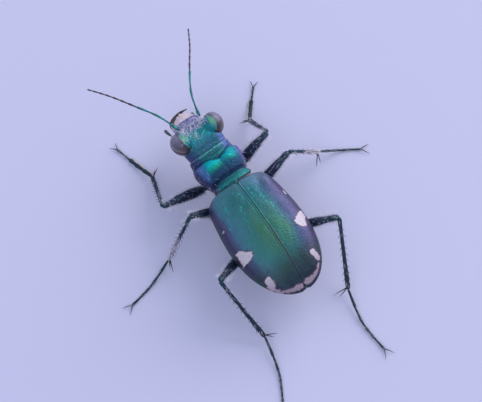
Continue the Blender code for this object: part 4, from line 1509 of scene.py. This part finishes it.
@dataclass
class Leg:
    """One leg: hip, thigh, spined shin, and a foot of five joints with two claws."""

    name: str
    side: int
    coxa: tuple[float, float]
    knee: tuple[float, float, float]
    ankle: tuple[float, float, float]
    ball: tuple[float, float, float]
    toe: tuple[float, float, float]
    spur: float
    inward: tuple[float, float]
    seed: int
    padded: bool = False
    brushed: bool = False
    claw: float = 1.2
    hip_root_z: float = 0.90
    hip_lean: float = 0.10
    joint_shares: Sequence[float] = (0.29, 0.21, 0.16, 0.12, 0.22)
    tufts: list[Tuft] = field(default_factory=list)

    def hip(self) -> None:
        """Make the cone of the hip and the small joint below it."""
        x, y = self.coxa
        cone = Limb(banded((0.0, "#163a40"), (0.6, "#1f5a58"), (1.0, "#2a3f52")),
                    path=Route(((x - self.side * 0.05, y, 1.75), (x, y, 1.35),
                               (x + self.side * self.hip_lean, y, 0.72))),
                    profile=((0.0, 0.46), (0.35, 0.44), (0.7, 0.34), (1.0, 0.20)),
                    up=BACKWARDS, flat=1.15)
        root = Vector((x + self.side * self.hip_lean, y, self.hip_root_z))
        way = (Vector(self.knee) - root).normalized()
        bean = Limb(banded((0.0, "#1c3c44"), (1.0, "#2c6a60")),
                    path=Route((tuple(root - way * 0.12), tuple(root + way * 0.16),
                               tuple(root + way * 0.48))),
                    profile=((0.0, 0.16), (0.5, 0.20), (1.0, 0.15)))
        make_piece("hip_" + self.name, [cone.skin(40, 40), bean.skin(24, 24)], LEG_SKIN,
                   ["coxa_" + self.name])
        self.tufts.append(Tuft(cone, 26, (-2.6, 2.6), (0.1, 0.7), (0.25, 0.45), 0.35))

    def thigh(self) -> None:
        """Make the thigh, swollen near its root and knobbed at the knee."""
        root = Vector((self.coxa[0] + self.side * self.hip_lean, self.coxa[1],
                       self.hip_root_z))
        knee = Vector(self.knee)
        way = (knee - root).normalized()
        bow = way.cross(UP).cross(way).normalized() * 0.05
        start = root + way * 0.42
        path = Route((tuple(start), tuple(lerp(start, knee, 0.5) + bow), tuple(knee)))
        paint = banded((0.0, "#304458"), (0.5, "#2b394e"), (0.86, "#28444c"), (0.96, "#2a5452"),
                       (1.0, "#264e4c"))
        stout = 1.05 if self.padded else 1.0
        form = Limb(paint, path=path, flat=0.92,
                    profile=((0.0, 0.16), (0.12, 0.24 * stout), (0.34, 0.29 * stout),
                             (0.62, 0.25 * stout), (0.86, 0.175), (0.95, 0.175), (1.0, 0.15)))
        make_piece("thigh_" + self.name, [form.skin(32, 64)], LEG_SKIN,
                   ["femur_" + self.name])
        self.tufts.append(Tuft(form, 190, (0.0, math.tau), (0.08, 0.92), (0.14, 0.24), 0.7, 0.7,
                               radius=0.011))
        for edge in (0.0, math.pi):
            self.tufts.append(Tuft(form, 110, (edge - 0.35, edge + 0.45), (0.08, 0.90),
                                   (0.20, 0.36), 1.5, 0.4, 0.3, 0.011))

    def thorn(self, root: Vector, way: Vector, length: float, radius: float,
              code: str = "#241a1c") -> bmesh.types.BMesh:
        """One tapered spine that curves a little towards the floor."""
        way = way.normalized()
        tip = root + way * length
        middle = lerp(root, tip, 0.55) + Vector((0.0, 0.0, 0.04 * length))
        path = Route((tuple(root - way * radius), tuple(middle), tuple(tip)), 24)
        return Limb(plain(code), path=path,
                    profile=((0.0, radius), (0.5, radius * 0.75), (1.0, radius * 0.2))
                    ).skin(8, 12)

    def shin(self) -> None:
        """Make the shin with its rows of bristles and its end spurs."""
        knee, ankle = Vector(self.knee), Vector(self.ankle)
        along = (ankle - knee).normalized()
        out = along.cross(UP).normalized()
        path = Route((tuple(knee + along * 0.02), tuple(lerp(knee, ankle, 0.5)), tuple(ankle)))
        paint = banded((0.0, "#244c4a"), (0.12, "#20404a"), (0.5, "#223a42"), (1.0, "#263236"))
        if self.brushed:
            paint = banded((0.0, "#244c4a"), (0.45, "#22404a"), (0.62, "#9a9094"),
                           (0.93, "#b4a8a6"), (1.0, "#3a5456"))
        form = Limb(paint, path=path,
                    profile=((0.0, 0.10), (0.06, 0.12), (0.18, 0.10), (0.55, 0.105),
                             (0.92, 0.135), (1.0, 0.12)))
        skins = [form.skin(24, 72)]
        dice = random.Random(self.seed)
        for row in range(9):
            share = 0.16 + 0.085 * row
            for turn in (-1, 1):
                root = path.at(share) + out * turn * 0.08
                way = out * turn + along * 0.9 - UP * dice.uniform(0.0, 0.35)
                skins.append(self.thorn(root, way, dice.uniform(0.18, 0.27), 0.018))
        inward = Vector((*self.inward, -0.22))
        for blend, size in ((0.0, 1.0), (0.35, 0.7)):
            way = lerp(inward, along, blend)
            way.z = max(way.z, -0.25)
            root = path.at(0.965 + 0.02 * blend) + inward * 0.07
            skins.append(self.thorn(root, way, self.spur * size, 0.034, "#2a2024"))
        make_piece("shin_" + self.name, skins, LEG_SKIN, ["tibia_" + self.name])
        self.tufts.append(Tuft(form, 60, (0.0, math.tau), (0.08, 0.95), (0.16, 0.30), 0.5))
        if self.brushed:
            self.tufts.append(Tuft(form, 190, (0.0, math.tau), (0.48, 0.97), (0.12, 0.24), 0.45,
                                   1.0, 0.3, 0.012))
            self.tufts.append(Tuft(form, 34, (math.pi - 0.5, math.pi + 0.3), (0.10, 0.70),
                                   (0.24, 0.36), 1.3, 0.5, 0.3, 0.010))

    def foot(self) -> None:
        """Make the foot's joints and claws, with felt pads on a male's front feet."""
        route = Route((self.ankle, self.ball, self.toe))
        skins, pads = [], []
        start = 0.0
        for joint, length in enumerate(self.joint_shares):
            end = start + length
            wide = self.padded and joint < 3
            size = 0.125 if wide else lerp(0.086, 0.068, joint / 4.0)
            steps = [route.at(lerp(max(start - 0.008, 0.0), end, step / 6)) for step in range(7)]
            part = Route([(step.x, step.y, max(step.z, size + 0.006)) for step in steps])
            paint = banded((0.0, "#16323a"), (0.7, "#1c443f"), (1.0, "#225248"))
            profile = ((0.0, size * 0.70), (0.2, size * 0.78), (0.85, size), (1.0, size * 0.85))
            form = Limb(paint, path=part, profile=profile, flat=0.62 if wide else 0.9,
                        round_off=0.7)
            skins.append(form.skin(18, 24))
            if wide:
                low = [tuple(part.at(lerp(0.04, 0.98, step / 4)) + Vector((0.0, 0.0, -0.045))
                             + part.along(0.5).cross(UP) * self.side * 0.085)
                       for step in range(5)]
                pad = Limb(plain("#d8cdb4"), path=Route(low), flat=0.5,
                           profile=((0.0, 0.09), (0.5, 0.115), (1.0, 0.10)))
                pads.append(pad.skin(14, 18))
            else:
                self.tufts.append(Tuft(form, 10, (0.0, math.pi), (0.2, 0.95), (0.10, 0.2),
                                       0.5, radius=0.008))
            start = end
        forward = Vector(self.toe) - Vector(self.ball)
        forward.z = 0.0
        forward.normalize()
        across = forward.cross(UP)
        for turn in (-1, 1):
            root = Vector(self.toe) - forward * 0.05
            reach, spread = forward * self.claw, across * turn * self.claw
            points = (tuple(root), tuple(root + reach * 0.14 + spread * 0.09 + UP * 0.03),
                      tuple(root + reach * 0.27 + spread * 0.16 - UP * 0.01),
                      tuple(root + reach * 0.34 + spread * 0.22 - UP * 0.06))
            claw = Limb(plain("#3a2622"), path=Route(points),
                        profile=((0.0, 0.030), (0.5, 0.020), (1.0, 0.005)))
            skins.append(claw.skin(10, 16))
        make_piece("foot_" + self.name, skins, LEG_SKIN, ["tarsus_" + self.name])
        if pads:
            make_piece("foot_pads_" + self.name, pads, PAD_SKIN)

    def build(self) -> list[Tuft]:
        """Make the whole leg, and return where its hairs grow."""
        self.hip()
        self.thigh()
        self.shin()
        self.foot()
        return self.tufts


LEGS = (
    Leg("front_left", 1, (0.50, -2.05), (3.76, -2.04, 1.90), (2.97, -4.44, 0.52),
        (3.28, -5.75, 0.13), (3.66, -7.15, 0.09), 0.76, (-0.78, -0.59), 11, True),
    Leg("front_right", -1, (-0.50, -2.05), (-3.30, -2.38, 2.80), (-3.40, -4.32, 0.80),
        (-4.13, -5.31, 0.14), (-4.94, -6.29, 0.09), 0.60, (0.88, -0.36), 12, True),
    Leg("middle_left", 1, (0.60, -0.30), (3.03, -0.35, 2.95), (4.88, 0.28, 0.55),
        (6.40, 0.90, 0.12), (7.92, 1.32, 0.09), 0.78, (0.29, 0.93), 13, brushed=True,
        claw=1.5),
    Leg("middle_right", -1, (-0.60, -0.30), (-3.63, -0.77, 2.70), (-5.58, -0.61, 0.75),
        (-6.83, -0.26, 0.12), (-7.87, 0.32, 0.09), 0.86, (0.60, 0.78), 14,
        brushed=True, claw=1.5),
    Leg("hind_left", 1, (0.50, 2.10), (3.72, 3.67, 2.90), (2.91, 6.89, 0.45),
        (3.33, 8.90, 0.12), (4.20, 10.65, 0.09), 0.78, (-0.90, 0.36), 15, claw=1.4),
    Leg("hind_right", -1, (-0.50, 2.10), (-3.72, 4.05, 2.90), (-2.40, 7.06, 0.45),
        (-2.05, 9.00, 0.12), (-2.20, 10.92, 0.09), 0.88, (0.98, -0.08), 16, claw=1.5),
)


# Studio


@dataclass(frozen=True)
class Studio:
    """The floor, the soft lights and the camera at the photograph's angle."""

    camera_at: tuple[float, float, float] = (26.585, 40.547, 111.625)
    camera_target: tuple[float, float, float] = (0.002, -0.387, 2.0)
    lens: float = 164.0
    floor_size: float = 3.0
    floor_colour: str = "#d4d4e2"
    sky_colour: str = "#ccd4fa"
    sky_strength: float = 0.74

    def floor(self) -> None:
        """Lay a plain pale floor that isn't part of the object."""
        bm = bmesh.new()
        bmesh.ops.create_grid(bm, x_segments=1, y_segments=1, size=self.floor_size / 2.0)
        mesh = bpy.data.meshes.new("floor")
        bm.to_mesh(mesh)
        bm.free()
        material = bpy.data.materials.new("matt_pale_board")
        material.use_nodes = True
        shader = material.node_tree.nodes["Principled BSDF"]
        shader.inputs["Base Color"].default_value = linear(self.floor_colour)
        shader.inputs["Roughness"].default_value = 0.85
        mesh.materials.append(material)
        floor = bpy.data.objects.new("floor", mesh)
        bpy.context.scene.collection.objects.link(floor)
        floor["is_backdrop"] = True

    def lamp(self, name: str, place: Sequence[float], size: float, power: float,
             code: str) -> None:
        """Hang a large soft lamp that points at the beetle.

        Args:
            name: Its name.
            place: Where it hangs, in metres.
            size: Its width in metres.
            power: Its power in watts.
            code: The colour of its light.
        """
        light = bpy.data.lights.new(name, "AREA")
        light.shape = "DISK"
        light.size = size
        light.energy = power
        light.color = linear(code)[:3]
        lamp = bpy.data.objects.new(name, light)
        lamp.location = place
        lamp.rotation_mode = "QUATERNION"
        lamp.rotation_quaternion = Vector(place).to_track_quat("Z", "Y")
        bpy.context.scene.collection.objects.link(lamp)

    def build(self) -> None:
        """Set up floor, lights, sky and camera."""
        self.floor()
        self.lamp("key_softbox", (-0.34, -0.10, 0.19), 0.42, 1.25, "#f6f0ff")
        self.lamp("fill_softbox", (0.25, 0.20, 0.35), 0.35, 0.4, "#dfe4ff")
        world = bpy.data.worlds.new("studio_sky")
        world.use_nodes = True
        sky = world.node_tree.nodes["Background"]
        sky.inputs["Color"].default_value = linear(self.sky_colour)
        sky.inputs["Strength"].default_value = self.sky_strength
        scene = bpy.context.scene
        scene.world = world
        scene.view_settings.view_transform = "Standard"
        view = bpy.data.cameras.new("camera")
        view.lens = self.lens
        view.sensor_width = 36.0
        view.clip_start = 0.01
        camera = bpy.data.objects.new("camera", view)
        camera.location = Vector(self.camera_at) * MM
        camera.rotation_mode = "QUATERNION"
        ahead = Vector(self.camera_target) - Vector(self.camera_at)
        camera.rotation_quaternion = ahead.to_track_quat("-Z", "Y")
        scene.collection.objects.link(camera)
        scene.camera = camera


def comb(shield: Hull, head: Hull, trunk: Sequence[Hull], legs: Sequence[Sequence[Tuft]]) -> None:
    """Grow the white hair on head, shield, trunk and legs.

    Args:
        shield: The form of the prothorax.
        head: The form of the head capsule.
        trunk: The forms of breast and belly.
        legs: The tufts of each leg.
    """
    half = math.pi / 2.0
    Coat("hair_head", Slot.CROWN, (
        Tuft(head, 74, (half - 0.68, half + 0.05), (0.33, 0.62), (0.36, 0.68), 0.40, 1.0, 1.0,
             0.0125),
        Tuft(head, 14, (half - 1.05, half - 0.60), (0.34, 0.50), (0.22, 0.34), 0.40, 0.6, 1.3,
             0.012),
        Tuft(head, 48, (half + 0.05, half + 0.80), (0.42, 0.60), (0.34, 0.62), 0.40, 1.0, 1.0,
             0.0125),
        Tuft(head, 26, (half - 1.2, half + 1.2), (0.62, 0.72), (0.20, 0.34), 0.6, 0.5, 1.2,
             0.012),
        Tuft(head, 40, (-1.2, 0.0), (0.20, 0.75), (0.20, 0.35), 0.5, 1.0, 0.4, 0.008),
        Tuft(head, 40, (math.pi, math.pi + 1.2), (0.20, 0.75), (0.20, 0.35), 0.5, 1.0, 0.4,
             0.008),
    ), seed=3, pose=HEAD_POSE).build()
    Coat("hair_shield", Slot.CROWN, (
        Tuft(shield, 70, (-0.7, 0.15), (0.28, 0.80), (0.18, 0.32), 0.5, 0.8, 0.5, 0.008),
        Tuft(shield, 70, (math.pi - 0.15, math.pi + 0.7), (0.28, 0.80), (0.18, 0.32), 0.5,
             0.8, 0.5, 0.008),
        Tuft(shield, 16, (0.3, 0.9), (0.30, 0.75), (0.15, 0.28), 0.5, 0.8, 0.8, 0.007),
        Tuft(shield, 16, (math.pi - 0.9, math.pi - 0.3), (0.30, 0.75), (0.15, 0.28), 0.5,
             0.8, 0.8, 0.007),
    ), seed=4, pose=SHIELD_POSE).build()
    Coat("hair_trunk", Slot.UNDER, [
        *[Tuft(trunk[0], 150, turns, (0.15, 0.9), (0.28, 0.50), 0.45, 1.0)
          for turns in ((-0.9, 0.1), (math.pi - 0.1, math.pi + 0.9))],
        *[Tuft(form, 36, turns, (0.35, 0.75), (0.22, 0.38), 0.35, 1.0)
          for form in trunk[1:5] for turns in ((-1.0, 0.0), (math.pi, math.pi + 1.0))],
    ], seed=5).build()
    for leg, tufts in zip(LEGS, legs):
        Coat("hair_leg_" + leg.name, Slot.LEG, tufts, seed=leg.seed + 20).build()


def write_sizes() -> None:
    """Log the box of every shown piece together as plain lists of millimetres."""
    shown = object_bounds()
    for corner in shown:
        LOG.info("box %s", [round(value / MM, 2) for value in corner])


def main() -> None:
    """Build the studio and every part of the beetle in order."""
    logging.basicConfig(level=logging.INFO, format="%(name)s %(message)s")
    Studio().build()
    cases = WingCases()
    for side_name in SIDES:
        cases.build(side_name, MARKS[side_name])
    shield = Shield().build()
    head = Head().build()
    trunk = Trunk(cases).build()
    legs = [leg.build() for leg in LEGS]
    comb(shield, head, trunk, legs)
    write_sizes()


if __name__ == "__main__":
    main()
